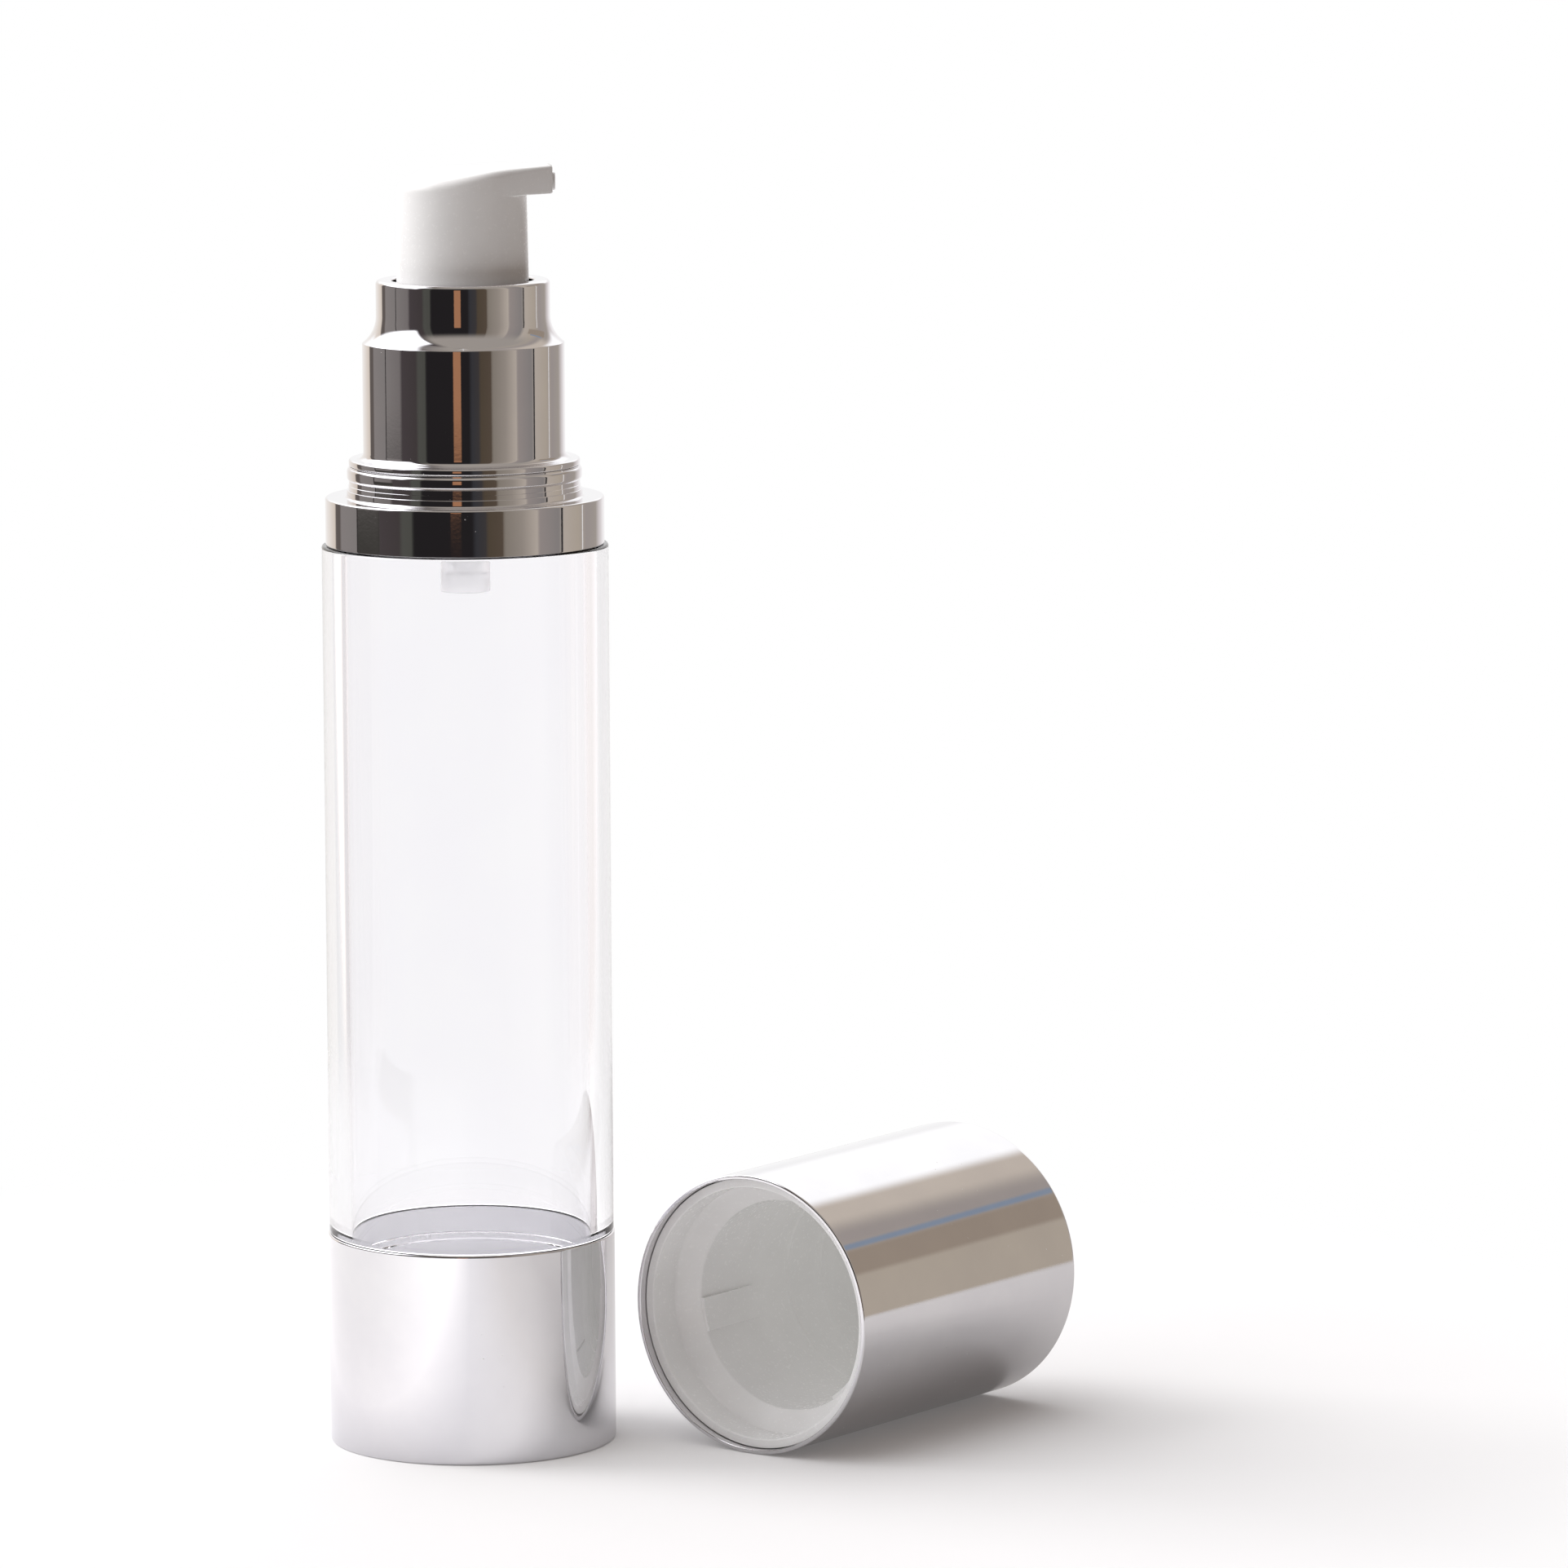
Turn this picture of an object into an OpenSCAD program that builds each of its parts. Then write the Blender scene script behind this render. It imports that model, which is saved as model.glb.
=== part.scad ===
// Airless pump bottle, 50 ml class, standing with its overcap laid beside it.
// Origin at the middle of the base's underside, +Z up, spout towards +X. Millimetres.

/* [Base] */
// Outer diameter of the base cup
base_d = 33; // [32:0.1:38]
// Height of the base cup
base_h = 24.3; // [18:0.1:32]
// Wall of the base cup
base_wall = 1; // [0.8:0.05:1.3]
// Thickness of the base cup's floor
base_floor = 1.4; // [1:0.1:2.4]
// Width of the ring that the bottle stands on
foot_w = 2.2; // [1.5:0.1:5]
// Depth of the recess inside that ring
foot_recess = 0.5; // [0.2:0.1:1]
// Diameter of the air vent in the floor
vent_d = 6; // [2:0.1:12]
// Height above the floor of the ring that the follower rests on
stop_h = 5.7; // [3.5:0.1:8]
// Wall of that ring
stop_wall = 1.4; // [0.8:0.1:2]
// Width of the air notches in that ring
notch_w = 3; // [1.5:0.1:5]
// Depth of the air notches
notch_h = 1.5; // [0.5:0.1:3]

/* [Bottle wall] */
// Outer diameter of the clear wall
body_d = 32.76; // [32:0.02:36]
// Height of the clear wall that shows
body_h = 79.64; // [40:0.02:120]
// Bore that the follower runs in
bore_d = 27.6; // [25.4:0.1:28]
// How far the bore runs on below the resting follower
bore_lead = 1.8; // [0.8:0.1:3]
// Rounding of the clear wall's outer edges
wall_edge = 0.3; // [0.1:0.05:0.6]
// How far the snap beads stand out
snap = 0.2; // [0.1:0.05:0.3]
// Height of the snap beads
snap_w = 1; // [0.7:0.1:1.4]
// Height above the joint at which the lower snap bead's groove ends
snap_drop = 4; // [2:0.1:8]

/* [Follower piston] */
// Overall height of the follower
follower_h = 10.4; // [8.6:0.1:16]
// Wall of the follower
follower_wall = 1.1; // [0.8:0.1:1.5]
// How far its waist stays inside its lips
follower_waist = 0.9; // [0.4:0.1:1.3]
// Height of its upper lip above its web
follower_lip = 2.2; // [1.4:0.1:3]

/* [Shoulder] */
// Outer diameter of the shoulder ring
shoulder_d = 31.86; // [31:0.02:36]
// Height of the shoulder ring
shoulder_h = 5.5; // [4.6:0.02:9]
// Wall of the shoulder ring
shoulder_wall = 0.9; // [0.7:0.05:1.1]
// Thickness of the shoulder's flat web
web_t = 1.2; // [0.8:0.1:2]
// Diameter of the cap seat above the ledge
seat_d = 26.4; // [25.8:0.1:28]
// Height of the cap seat above the ledge
seat_h = 3.56; // [3.3:0.02:6]
// Wall of the cap seat
seat_wall = 1; // [0.7:0.1:1.3]
// How far the round bead stands out of the cap seat
bead_out = 0.21; // [0.1:0.01:0.4]
// Height of the round bead
bead_w = 1.7; // [0.8:0.05:1.8]
// How far the foot ring of the cap seat stands out
band_out = 0.25; // [0.15:0.01:0.6]
// Height of that foot ring
band_w = 0.86; // [0.66:0.02:1.2]
// Radius of the fillet between foot ring and ledge
ledge_fillet = 0.3; // [0.1:0.05:0.4]

/* [Inner plug] */
// Thickness of the plate that closes the product chamber
plate_t = 1.5; // [1:0.1:2.4]
// Thickness of the plug's rim on the bottle's mouth
rim_t = 1; // [0.6:0.05:1.4]
// Wall of the sealing skirt
skirt_t = 1.1; // [0.8:0.1:2]
// How far the sealing skirt stays above the clear wall's top
skirt_hide = 0.36; // [0.1:0.02:1]
// Wall of the plug's neck
neck_wall = 1.4; // [0.9:0.1:2]

/* [Collar] */
// Diameter of the collar's bottom flange
flange_d = 26.4; // [25:0.1:28]
// Thickness of that flange
flange_t = 0.8; // [0.5:0.05:1.2]
// Diameter of the neck sleeve
neck_d = 23.06; // [22.4:0.02:24]
// Height of the neck sleeve
neck_h = 13.2; // [11:0.05:20]
// Height of the hollow curve above the sleeve
cove_h = 3.1; // [2:0.1:5]
// Diameter of the collar's top ring
top_d = 19.86; // [18.6:0.02:21]
// Height of that ring
top_h = 4.1; // [2.5:0.02:7]
// Rounding of the collar's visible edges
collar_edge = 0.25; // [0.1:0.05:0.4]
// Rounding of the top ring's upper edge
top_edge = 0.5; // [0.2:0.05:0.7]
// Fillet between the sleeve and the bottom flange
sleeve_fillet = 0.8; // [0.3:0.05:1]
// Wall of the sleeve
collar_wall = 0.73; // [0.5:0.01:1]
// Hole that the pump head dips into
hole_d = 16.2; // [15.6:0.05:17]

/* [Pump] */
// How far the intake stub hangs below the shoulder
stub_drop = 5.34; // [4:0.02:9]
// Outer diameter of the intake stub
stub_d = 5.7; // [5.4:0.05:7]
// Bore of the intake stub
intake_d = 4.4; // [2.6:0.1:4.6]
// Length of that bore
intake_h = 2.4; // [1:0.1:3]
// Bore under the ball's seat
throat_d = 2.2; // [1.4:0.1:2.4]
// Length of that bore
throat_h = 0.5; // [0.3:0.05:1]
// Diameter of the inlet ball
ball_d = 3.2; // [2.8:0.05:3.4]
// How far the ball lifts off its seat
ball_lift = 1; // [0.5:0.05:1.2]
// Height of the ribs that keep the ball in
rib_h = 1; // [0.6:0.05:1.6]
// Width of those ribs
rib_w = 0.6; // [0.4:0.05:0.9]
// Bore of the pump chamber
chamber_d = 9.2; // [8.6:0.05:10]
// Wall of the pump chamber
chamber_wall = 1; // [0.8:0.05:1.3]
// Stroke of the pump
stroke = 4.5; // [3:0.1:5]
// Height of the pump piston
piston_h = 4.1; // [3.6:0.1:5]
// How far the piston slides on the stem, which opens and shuts the outlet
lost_motion = 0.8; // [0.4:0.05:1]
// Thickness of the rod's valve head
head_t = 0.7; // [0.5:0.05:1]
// Thickness of the clamped flanges of the housing and the stem guide
engine_flange_t = 1; // [0.7:0.05:1.3]
// Thickness of the gasket
gasket_t = 0.6; // [0.3:0.05:1]
// Length of the stem guide's plug in the chamber
guide_plug_h = 1.45; // [0.8:0.05:2]
// Thickness of the closure's top
closure_top = 1; // [0.7:0.05:1.4]
// Wall of the closure
closure_wall = 1.1; // [0.8:0.05:1.3]
// Opening in the closure's top
closure_hole = 12.6; // [10.5:0.1:14]
// Outer diameter of the stem
stem_d = 5.2; // [4.8:0.05:5.4]
// Bore of the stem
stem_bore = 3; // [2.6:0.05:3.2]
// Diameter of the flange that the spring pushes on
stem_flange_d = 8.8; // [8.4:0.1:10]
// Thickness of that flange
stem_flange_t = 1; // [0.6:0.1:1.6]
// Core of the piston rod
rod_core = 2; // [1.4:0.05:2.2]

/* [Spring] */
// Height of the spring at rest
spring_h = 12; // [10:0.1:13]
// Wire diameter
wire_d = 0.7; // [0.5:0.05:0.8]
// Turns
turns = 7; // [5:1:8]
// Clearance between the stem and the spring
spring_clear = 0.6; // [0.3:0.05:0.7]

/* [Pump head] */
// Diameter of the head's skirt where it meets the crown
head_d = 14.72; // [14:0.02:15]
// Draft of the skirt, in degrees
head_draft = 0.98; // [0:0.02:1.2]
// How far the skirt dips into the collar at rest
head_dip = 4.8; // [3.2:0.02:5]
// Wall of the skirt
head_wall = 1; // [0.7:0.05:1.2]
// Height of the spout's underside above the collar
spout_rise = 9.75; // [8:0.01:14]
// Reach of the spout from the axis
tip_x = 10.3; // [9.2:0.05:11]
// Width of the spout's tip
tip_w = 3.2; // [2.8:0.05:6]
// Height of the spout's tip
tip_h = 3.43; // [3.1:0.01:4.2]
// Height of the head's side above the spout's underside, over the axis
head_side_h = 2.23; // [2:0.01:2.6]
// Slope of the head's top edge, in degrees
top_slope = 6.9; // [3:0.1:8]
// Rounding of that edge
head_edge = 1.2; // [0.6:0.05:1.3]
// Rise of the domed top above that edge, over the axis
dome_h = 0.8; // [0.3:0.05:1.1]
// Rounding of the spout's tip
tip_edge = 0.4; // [0.2:0.05:0.6]
// Diameter of the nozzle insert
nozzle_d = 2; // [1.6:0.05:2.2]
// Length of the nozzle insert
nozzle_l = 2.5; // [1.5:0.05:3.5]
// How far the insert stands out of the tip
nozzle_out = 0.3; // [0.1:0.05:0.8]
// Outlet hole in the insert
outlet_d = 0.8; // [0.4:0.05:1.2]

/* [Overcap] */
// Wall of the overcap's shell
cap_wall = 0.5; // [0.4:0.05:0.7]
// Thickness of its closed end
cap_end = 0.9; // [0.6:0.05:1.5]
// Outer rounding of the closed end
cap_edge = 0.6; // [0.3:0.05:1.2]
// Room between the pump head and the seated cap's liner
cap_headroom = 2.56; // [1:0.01:5]
// Wall of the liner
liner_wall = 1; // [0.7:0.05:1.2]
// How far the liner sits back from the shell's mouth
liner_recess = 1; // [0.4:0.05:2]
// Room around the bead in the liner's mouth
mouth_gap = 1.19; // [0.6:0.01:1.3]
// Wall of the liner around its mouth
mouth_wall = 1.04; // [0.8:0.01:1.4]
// Room above the collar's flange before the liner narrows
mouth_room = 0.84; // [0.3:0.02:2]
// Length over which the liner narrows
narrow_h = 1.8; // [1:0.05:3]
// Room around the neck in the liner's bore
bore_gap = 0.67; // [0.5:0.01:1]
// Depth from the mouth at which the liner's bore first steps in
first_step = 23.9; // [20:0.1:26]
// Depth from the mouth at which it steps in again
second_step = 30.3; // [27:0.1:34]
// Height of each of those steps
bore_step = 0.15; // [0.05:0.01:0.3]
// How far the grip pads stand out of the liner's bore
pad_out = 0.37; // [0.1:0.01:0.4]
// Width of a grip pad
pad_w = 4; // [2:0.1:6]
// Length of a grip pad
pad_l = 9.5; // [3:0.1:14]
// Number of ribs between liner and shell
cap_ribs = 6; // [3:1:10]
// Thickness of those ribs
cap_rib_t = 1; // [0.6:0.05:1.5]

/* [Where the cap lies] */
// Middle of the cap's mouth along X
cap_x = 31.69; // [31:0.01:60]
// Middle of the cap's mouth along Y
cap_y = -11.75; // [-20:0.01:-8]
// Direction that the closed end points in, in degrees from +X
cap_turn = 51.63; // [40:0.01:70]

/* [Hidden] */
$fn = 96;

// Clearances: pieces that are fixed to each other, a rod pressed into its stem, pieces that run,
// gaps left at stops and around snap beads
fixed_fit = 0.05;
press_fit = 0.02;
run_fit = 0.05;
stop_gap = 0.1;
snap_slack = 0.1;

// Small edges, how far a rib or bead runs into the wall that carries it, and how far a cut runs past
chamfer = 0.3;
root = 0.3;
over = 1;

// Radii and levels of the base and the clear wall
base_r = base_d / 2;
base_in = base_r - base_wall;
base_edge = 0.25;
floor_z = foot_recess + base_floor;
stop_z = floor_z + stop_h;
bore_r = bore_d / 2;
stop_inset = 0.8;
stop_r = bore_r - stop_inset;
body_r = body_d / 2;
spigot_r = base_in - fixed_fit;
spigot_z = stop_z - bore_lead;
wall_top = base_h + body_h;
lead_in = 0.4;

// Levels of the shoulder and the collar
ledge_z = wall_top + shoulder_h;
web_z = ledge_z - web_t;
shoulder_r = shoulder_d / 2;
shoulder_in = shoulder_r - shoulder_wall;
top_spigot_r = shoulder_in - fixed_fit;
mouth_z = web_z - rim_t;
top_snap_z = wall_top + 1;
seat_r = seat_d / 2;
seat_in = seat_r - seat_wall;
seat_top = ledge_z + seat_h;
bead_gap = 0.06;
bead_z = seat_top - bead_gap - bead_w / 2;
band_edge = 0.22;
band_r = seat_r + band_out;
band_top = ledge_z + band_w;
// A slight step in the seat between foot ring and bead
step_out = 0.05;
step_drop = 0.45;
step_z = bead_z - bead_w / 2 - step_drop;
bead_round = 0.55;
collar_z = seat_top + flange_t;
sleeve_top = collar_z + neck_h;
cove_top = sleeve_top + cove_h;
collar_top = cove_top + top_h;
neck_r = neck_d / 2;
sleeve_in = neck_r - collar_wall;
top_r = top_d / 2;
hole_r = hole_d / 2;
taper_drop = 1.4;
taper_z = sleeve_top - taper_drop;

// The closure fits the collar, and the clamped stack fits the closure
closure_r = sleeve_in - fixed_fit;
closure_in = closure_r - closure_wall;
closure_gap = 0.15;
engine_gap = 0.15;
engine_r = closure_in - engine_gap;
neck_step = 0.3;
plug_neck_r = engine_r - neck_step;
web_gap = 0.3;
web_hole = plug_neck_r + web_gap;

// Levels of the pump, from the stub up
stub_z = wall_top - stub_drop;
throat_z = stub_z + intake_h;
cone_z = throat_z + throat_h;
throat_r = throat_d / 2;
ball_r = ball_d / 2;
cage_gap = 0.35;
cage_r = ball_r + cage_gap;
ball_z = cone_z - throat_r + sqrt(2) * (ball_r + run_fit);
rib_in = 1.2;
rib_z = ball_z + ball_lift + sqrt(ball_r * ball_r - rib_in * rib_in) + stop_gap;
chamber_z = rib_z + rib_h;
chamber_r = chamber_d / 2;
chamber_out = chamber_r + chamber_wall;
chamber_floor = 1;
housing_clear = 0.15;
bottom_gap = 0.4;
head_z = chamber_z + bottom_gap + stroke;
piston_z = head_z + head_t + run_fit;
piston_top = piston_z + piston_h;
piston_foot = 1.35;
piston_seat = piston_z + piston_foot;
outlet_w = 0.9;
piston_in = rod_core / 2 + outlet_w;
guide_z = piston_top + lost_motion + stop_gap;
engine_top = guide_z + guide_plug_h;
gasket_top = engine_top - engine_flange_t;
plug_top = gasket_top - gasket_t;
guide_top = engine_top + engine_flange_t;
closure_z = ledge_z + closure_gap;
// Height at which the closure snaps on the plug's neck
plug_bead = 0.3;
plug_bead_share = 0.45;
plug_bead_z = web_z + (plug_top - web_z) * plug_bead_share;
stem_r = stem_d / 2;
stem_z = piston_seat + lost_motion + run_fit;
spring_top = guide_top + spring_h;
stem_flange_top = spring_top + stem_flange_t;
rod_grip = 4.2;
rod_top = stem_z + rod_grip;
rod_rib_r = stem_bore / 2 - press_fit;
head_gap = 1.3;
rod_head_r = chamber_r - head_gap;

// The raised follower stops short of the plug's skirt, and the stub then stands in its well
follower_gap = 0.3;
follower_top = stop_z + follower_h;
follower_limit = wall_top + skirt_hide - follower_gap;
well_gap = 0.75;
well_r = stub_d / 2 + well_gap;
well_room = 0.4;
well_z = follower_top - (follower_limit - stub_z) - well_room;

// Levels of the pump head
head_r = head_d / 2;
spout_z = collar_top + spout_rise;
head_low = collar_top - head_dip;
head_low_r = head_r + (spout_z - head_low) * tan(head_draft);
tip_top = spout_z + tip_h;
head_side_top = spout_z + head_side_h;
ceiling_t = 0.75;
head_ceiling = spout_z - ceiling_t;
stem_drop = 2.05;
stem_top = spout_z - stem_drop;
post_gap = 0.3;
post_z = stem_flange_top + post_gap;
post_wall = 1.5;
post_in = stem_r + run_fit;
post_r = post_in + post_wall;
socket_z = stem_top + post_gap;
duct_rise = 1.32;
duct_z = spout_z + duct_rise;
rise_r = 1.1;
duct_r = 0.7;
nozzle_r = nozzle_d / 2;
nozzle_x = tip_x + nozzle_out - nozzle_l;
hull_fn = 32;
dome_inset = 1.8;
dome_r = head_r - dome_inset;

// The cap follows what it covers, from the seat's bead outwards
liner_mouth_r = seat_r + bead_out + mouth_gap;
liner_out = liner_mouth_r + mouth_wall;
cap_in = liner_out + fixed_fit;
cap_r = cap_in + cap_wall;
liner_depth = tip_top - ledge_z + cap_headroom;
cap_h = liner_depth + liner_wall + cap_end;
narrow_z = seat_h + flange_t + mouth_room;
liner_r = max(neck_r, tip_x + nozzle_out) + bore_gap;
liner_bore_z = narrow_z + narrow_h;
pad_turns = [78, 198, 318];

// Spring: the ring of one turn and the tube's sides
coil_r = stem_r + spring_clear + wire_d / 2;
coil_rings = 8;
wire_sides = 6;
coil_z = guide_top + wire_d / 2 + run_fit;
coil_rise = spring_h - wire_d - 2 * run_fit;
pitch = coil_rise / turns;
lead = atan(pitch / (2 * PI * coil_r));

function arc(x, z, r, from, to, n = 6) =
    [for (i = [0:n]) [x + r * cos(from + (to - from) * i / n), z + r * sin(from + (to - from) * i / n)]];

// Snap bead on an outside wall of radius r, from z up
function bead_points(r, z, out, h) = [[r, z], [r + out, z + out], [r + out, z + h - out], [r, z + h]];

module turned(points) {
    rotate_extrude() polygon(points);
}

// The groove that such a snap bead sits in
function groove_points(r, z) =
    let (bead = bead_points(r, z - snap_slack, snap + snap_slack, snap_w + 2 * snap_slack))
    [for (i = [3:-1:0]) bead[i]];

module base_shell() {
    color("silver")
    difference() {
        turned(concat(
            [[vent_d / 2, foot_recess], [base_r - foot_w, foot_recess], [base_r - foot_w, 0]],
            arc(base_r - base_edge, base_edge, base_edge, -90, 0),
            arc(base_r - base_edge, base_h - base_edge, base_edge, 0, 90),
            [[base_in, base_h]],
            groove_points(base_in, base_h - snap_drop),
            [[base_in, floor_z], [stop_r, floor_z], [stop_r, stop_z], [stop_r - stop_wall, stop_z],
            [stop_r - stop_wall, floor_z], [vent_d / 2, floor_z]]));
        for (turn = [0, 120, 240])
            rotate(turn)
            translate([stop_r - stop_wall - over, -notch_w / 2, stop_z - notch_h])
            cube([stop_wall + 2 * over, notch_w, notch_h + over]);
    }
}

module body_tube() {
    color("lightcyan", 0.4)
    turned(concat(
        [[bore_r + lead_in, spigot_z], [spigot_r, spigot_z]],
        bead_points(spigot_r, base_h - snap_drop, snap, snap_w),
        [[spigot_r, base_h]],
        arc(body_r - wall_edge, base_h + wall_edge, wall_edge, -90, 0),
        arc(body_r - wall_edge, wall_top - wall_edge, wall_edge, 0, 90),
        [[top_spigot_r, wall_top]],
        bead_points(top_spigot_r, top_snap_z, snap, snap_w),
        [[top_spigot_r, mouth_z], [bore_r, mouth_z], [bore_r, spigot_z + lead_in]]));
}

module follower_piston() {
    lip_r = bore_r - run_fit;
    waist_r = lip_r - follower_waist;
    web_top = follower_top - follower_lip;
    skirt_in = waist_r - follower_wall;
    lip_t = 0.5;
    lip_band = 1.4;
    lip_slope = 0.6;
    color("white")
    turned([
        [skirt_in, stop_z], [lip_r - lead_in, stop_z], [lip_r, stop_z + lead_in],
        [lip_r, stop_z + lip_band], [waist_r, stop_z + lip_band + lip_slope],
        [waist_r, web_top - lip_slope], [lip_r, follower_top - lip_band], [lip_r, follower_top],
        [lip_r - lip_t, follower_top], [waist_r - lip_t, web_top],
        [well_r, web_top], [well_r, well_z], [0, well_z],
        [0, well_z - follower_wall], [well_r + follower_wall, well_z - follower_wall],
        [well_r + follower_wall, web_top - follower_wall], [skirt_in, web_top - follower_wall]]);
}

module shoulder() {
    color("silver")
    union() {
        turned(concat(
            [[shoulder_in, wall_top], [shoulder_r - collar_edge, wall_top]],
            arc(shoulder_r - collar_edge, wall_top + collar_edge, collar_edge, -90, 0),
            arc(shoulder_r - collar_edge, ledge_z - collar_edge, collar_edge, 0, 90),
            arc(band_r + ledge_fillet, ledge_z + ledge_fillet, ledge_fillet, 270, 180),
            arc(band_r - band_edge, band_top - band_edge, band_edge, 0, 90),
            [[seat_r + step_out, band_top], [seat_r + step_out, step_z], [seat_r, step_z + step_out],
            [seat_r, seat_top], [seat_in, seat_top], [seat_in, ledge_z], [web_hole, ledge_z],
            [web_hole, web_z], [shoulder_in, web_z]],
            groove_points(shoulder_in, top_snap_z)));
        rotate_extrude()
            translate([seat_r + bead_out - bead_round, bead_z])
            bead_section(bead_w / 2);
    }
}

// Rounded bead section: a flat middle with round shoulders, from the wall's inside out to the bead's crest
module bead_section(half_h) {
    polygon(concat(
        [[-root, -half_h]],
        arc(0, -half_h + bead_round, bead_round, -90, 0),
        arc(0, half_h - bead_round, bead_round, 0, 90),
        [[-root, half_h]]));
}

module inner_plug() {
    skirt_r = bore_r - fixed_fit;
    skirt_in = skirt_r - skirt_t;
    rim_r = top_spigot_r;
    hole = chamber_out + housing_clear;
    color("whitesmoke")
    turned(concat(
        [[hole, web_z - plate_t], [skirt_in, web_z - plate_t], [skirt_in, wall_top + skirt_hide],
        [skirt_r, wall_top + skirt_hide], [skirt_r, mouth_z], [rim_r, mouth_z], [rim_r, web_z],
        [plug_neck_r, web_z]],
        bead_points(plug_neck_r, plug_bead_z, plug_bead, snap_w),
        [[plug_neck_r, plug_top], [plug_neck_r - neck_wall, plug_top],
        [plug_neck_r - neck_wall, web_z], [hole, web_z]]));
}

module pump_collar() {
    // The hollow is an arc that leaves the top ring straight down
    cove_in = neck_r - top_r;
    cove_r = (cove_h * cove_h + cove_in * cove_in) / (2 * cove_in);
    cove_turn = asin(cove_h / cove_r);
    cove_steps = 10;
    color("silver")
    turned(concat(
        [[sleeve_in, seat_top]],
        arc(flange_d / 2 - collar_edge, seat_top + collar_edge, collar_edge, -90, 0),
        arc(flange_d / 2 - collar_edge, collar_z - collar_edge, collar_edge, 0, 90),
        arc(neck_r + sleeve_fillet, collar_z + sleeve_fillet, sleeve_fillet, 270, 180),
        arc(top_r + cove_r, cove_top, cove_r, 180 + cove_turn, 180, cove_steps),
        arc(top_r - top_edge, collar_top - top_edge, top_edge, 0, 90),
        arc(hole_r + collar_edge, collar_top - collar_edge, collar_edge, 90, 180),
        [[hole_r, taper_z + sleeve_in - hole_r], [sleeve_in, taper_z]]));
}

module pump_closure() {
    snap_in = plug_neck_r + fixed_fit;
    lip_top = plug_bead_z - snap_slack;
    color("white")
    turned([
        [snap_in, closure_z], [closure_r, closure_z], [closure_r, guide_top + closure_top],
        [closure_hole / 2, guide_top + closure_top], [closure_hole / 2, guide_top],
        [closure_in, guide_top], [closure_in, lip_top], [snap_in, lip_top - plug_bead]]);
}

module pump_housing() {
    color("ghostwhite", 0.6)
    union() {
        turned([
            [intake_d / 2, stub_z], [stub_d / 2, stub_z], [stub_d / 2, chamber_z - chamber_floor],
            [chamber_out, chamber_z - chamber_floor], [chamber_out, gasket_top],
            [engine_r, gasket_top], [engine_r, engine_top], [chamber_r, engine_top],
            [chamber_r, chamber_z], [cage_r, chamber_z], [cage_r, cone_z + cage_r - throat_r],
            [throat_r, cone_z], [throat_r, throat_z], [intake_d / 2, throat_z - lead_in]]);
        for (turn = [30, 150, 270])
            rotate(turn)
            translate([rib_in, -rib_w / 2, rib_z])
            cube([cage_r - rib_in + root, rib_w, rib_h]);
    }
}

module housing_gasket() {
    color("gainsboro")
    turned([[plug_neck_r - neck_wall, plug_top], [plug_neck_r, plug_top], [plug_neck_r, gasket_top],
        [plug_neck_r - neck_wall, gasket_top]]);
}

module inlet_ball() {
    color("lightblue")
    translate([0, 0, ball_z]) sphere(ball_r);
}

module stem_guide() {
    guide_r = stem_r + run_fit;
    plug_r = chamber_r - fixed_fit;
    color("white")
    turned([[guide_r, guide_z], [plug_r, guide_z], [plug_r, engine_top], [engine_r, engine_top],
        [engine_r, guide_top], [guide_r, guide_top]]);
}

// Helix of the spring: the middle of each ring, and the ring's points across the wire
function coil_turn(i) = 360 * i / coil_rings;
function coil_mid(i) =
    [coil_r * cos(coil_turn(i)), coil_r * sin(coil_turn(i)), coil_z + pitch * i / coil_rings];
function coil_across(i) =
    [sin(lead) * sin(coil_turn(i)), -sin(lead) * cos(coil_turn(i)), cos(lead)];
function coil_point(i, j) =
    let (side = 360 * j / wire_sides, out = [cos(coil_turn(i)), sin(coil_turn(i)), 0])
    coil_mid(i) + wire_d / 2 * (cos(side) * out + sin(side) * coil_across(i));

coil_last = turns * coil_rings;
coil_points = [for (i = [0:coil_last]) for (j = [0:wire_sides - 1]) coil_point(i, j)];
spring_least_gap = min([for (i = [0:coil_last - coil_rings]) norm(coil_mid(i + coil_rings) - coil_mid(i))])
    * cos(lead) - wire_d;

module return_spring() {
    s = wire_sides;
    echo("least gap between the spring's turns", spring_least_gap);
    color("lightsteelblue")
    polyhedron(coil_points, concat(
        [for (j = [1:s - 2]) [0, j, j + 1]],
        [for (j = [1:s - 2]) [coil_last * s, coil_last * s + j + 1, coil_last * s + j]],
        [for (i = [0:coil_last - 1]) for (j = [0:s - 1])
            [i * s + j, (i + 1) * s + j, i * s + (j + 1) % s]],
        [for (i = [0:coil_last - 1]) for (j = [0:s - 1])
            [i * s + (j + 1) % s, (i + 1) * s + j, (i + 1) * s + (j + 1) % s]]));
}

module stem() {
    in = stem_bore / 2;
    color("ivory")
    turned([
        [in, stem_z], [stem_r, stem_z], [stem_r, spring_top], [stem_flange_d / 2, spring_top],
        [stem_flange_d / 2, stem_flange_top], [stem_r, stem_flange_top], [stem_r, stem_top - chamfer],
        [stem_r - chamfer, stem_top], [in, stem_top]]);
}

module piston_rod() {
    color("ivory")
    union() {
        translate([0, 0, head_z]) cylinder(r = rod_head_r, h = head_t);
        translate([0, 0, head_z]) cylinder(d = rod_core, h = rod_top - head_z);
        intersection() {
            translate([0, 0, stem_z + chamfer]) cylinder(r = rod_rib_r, h = rod_top - stem_z - chamfer);
            for (turn = [0, 120, 240])
                rotate(turn)
                translate([0, -rib_w / 2, stem_z])
                cube([stem_bore, rib_w, rod_top - stem_z]);
        }
    }
}

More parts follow.
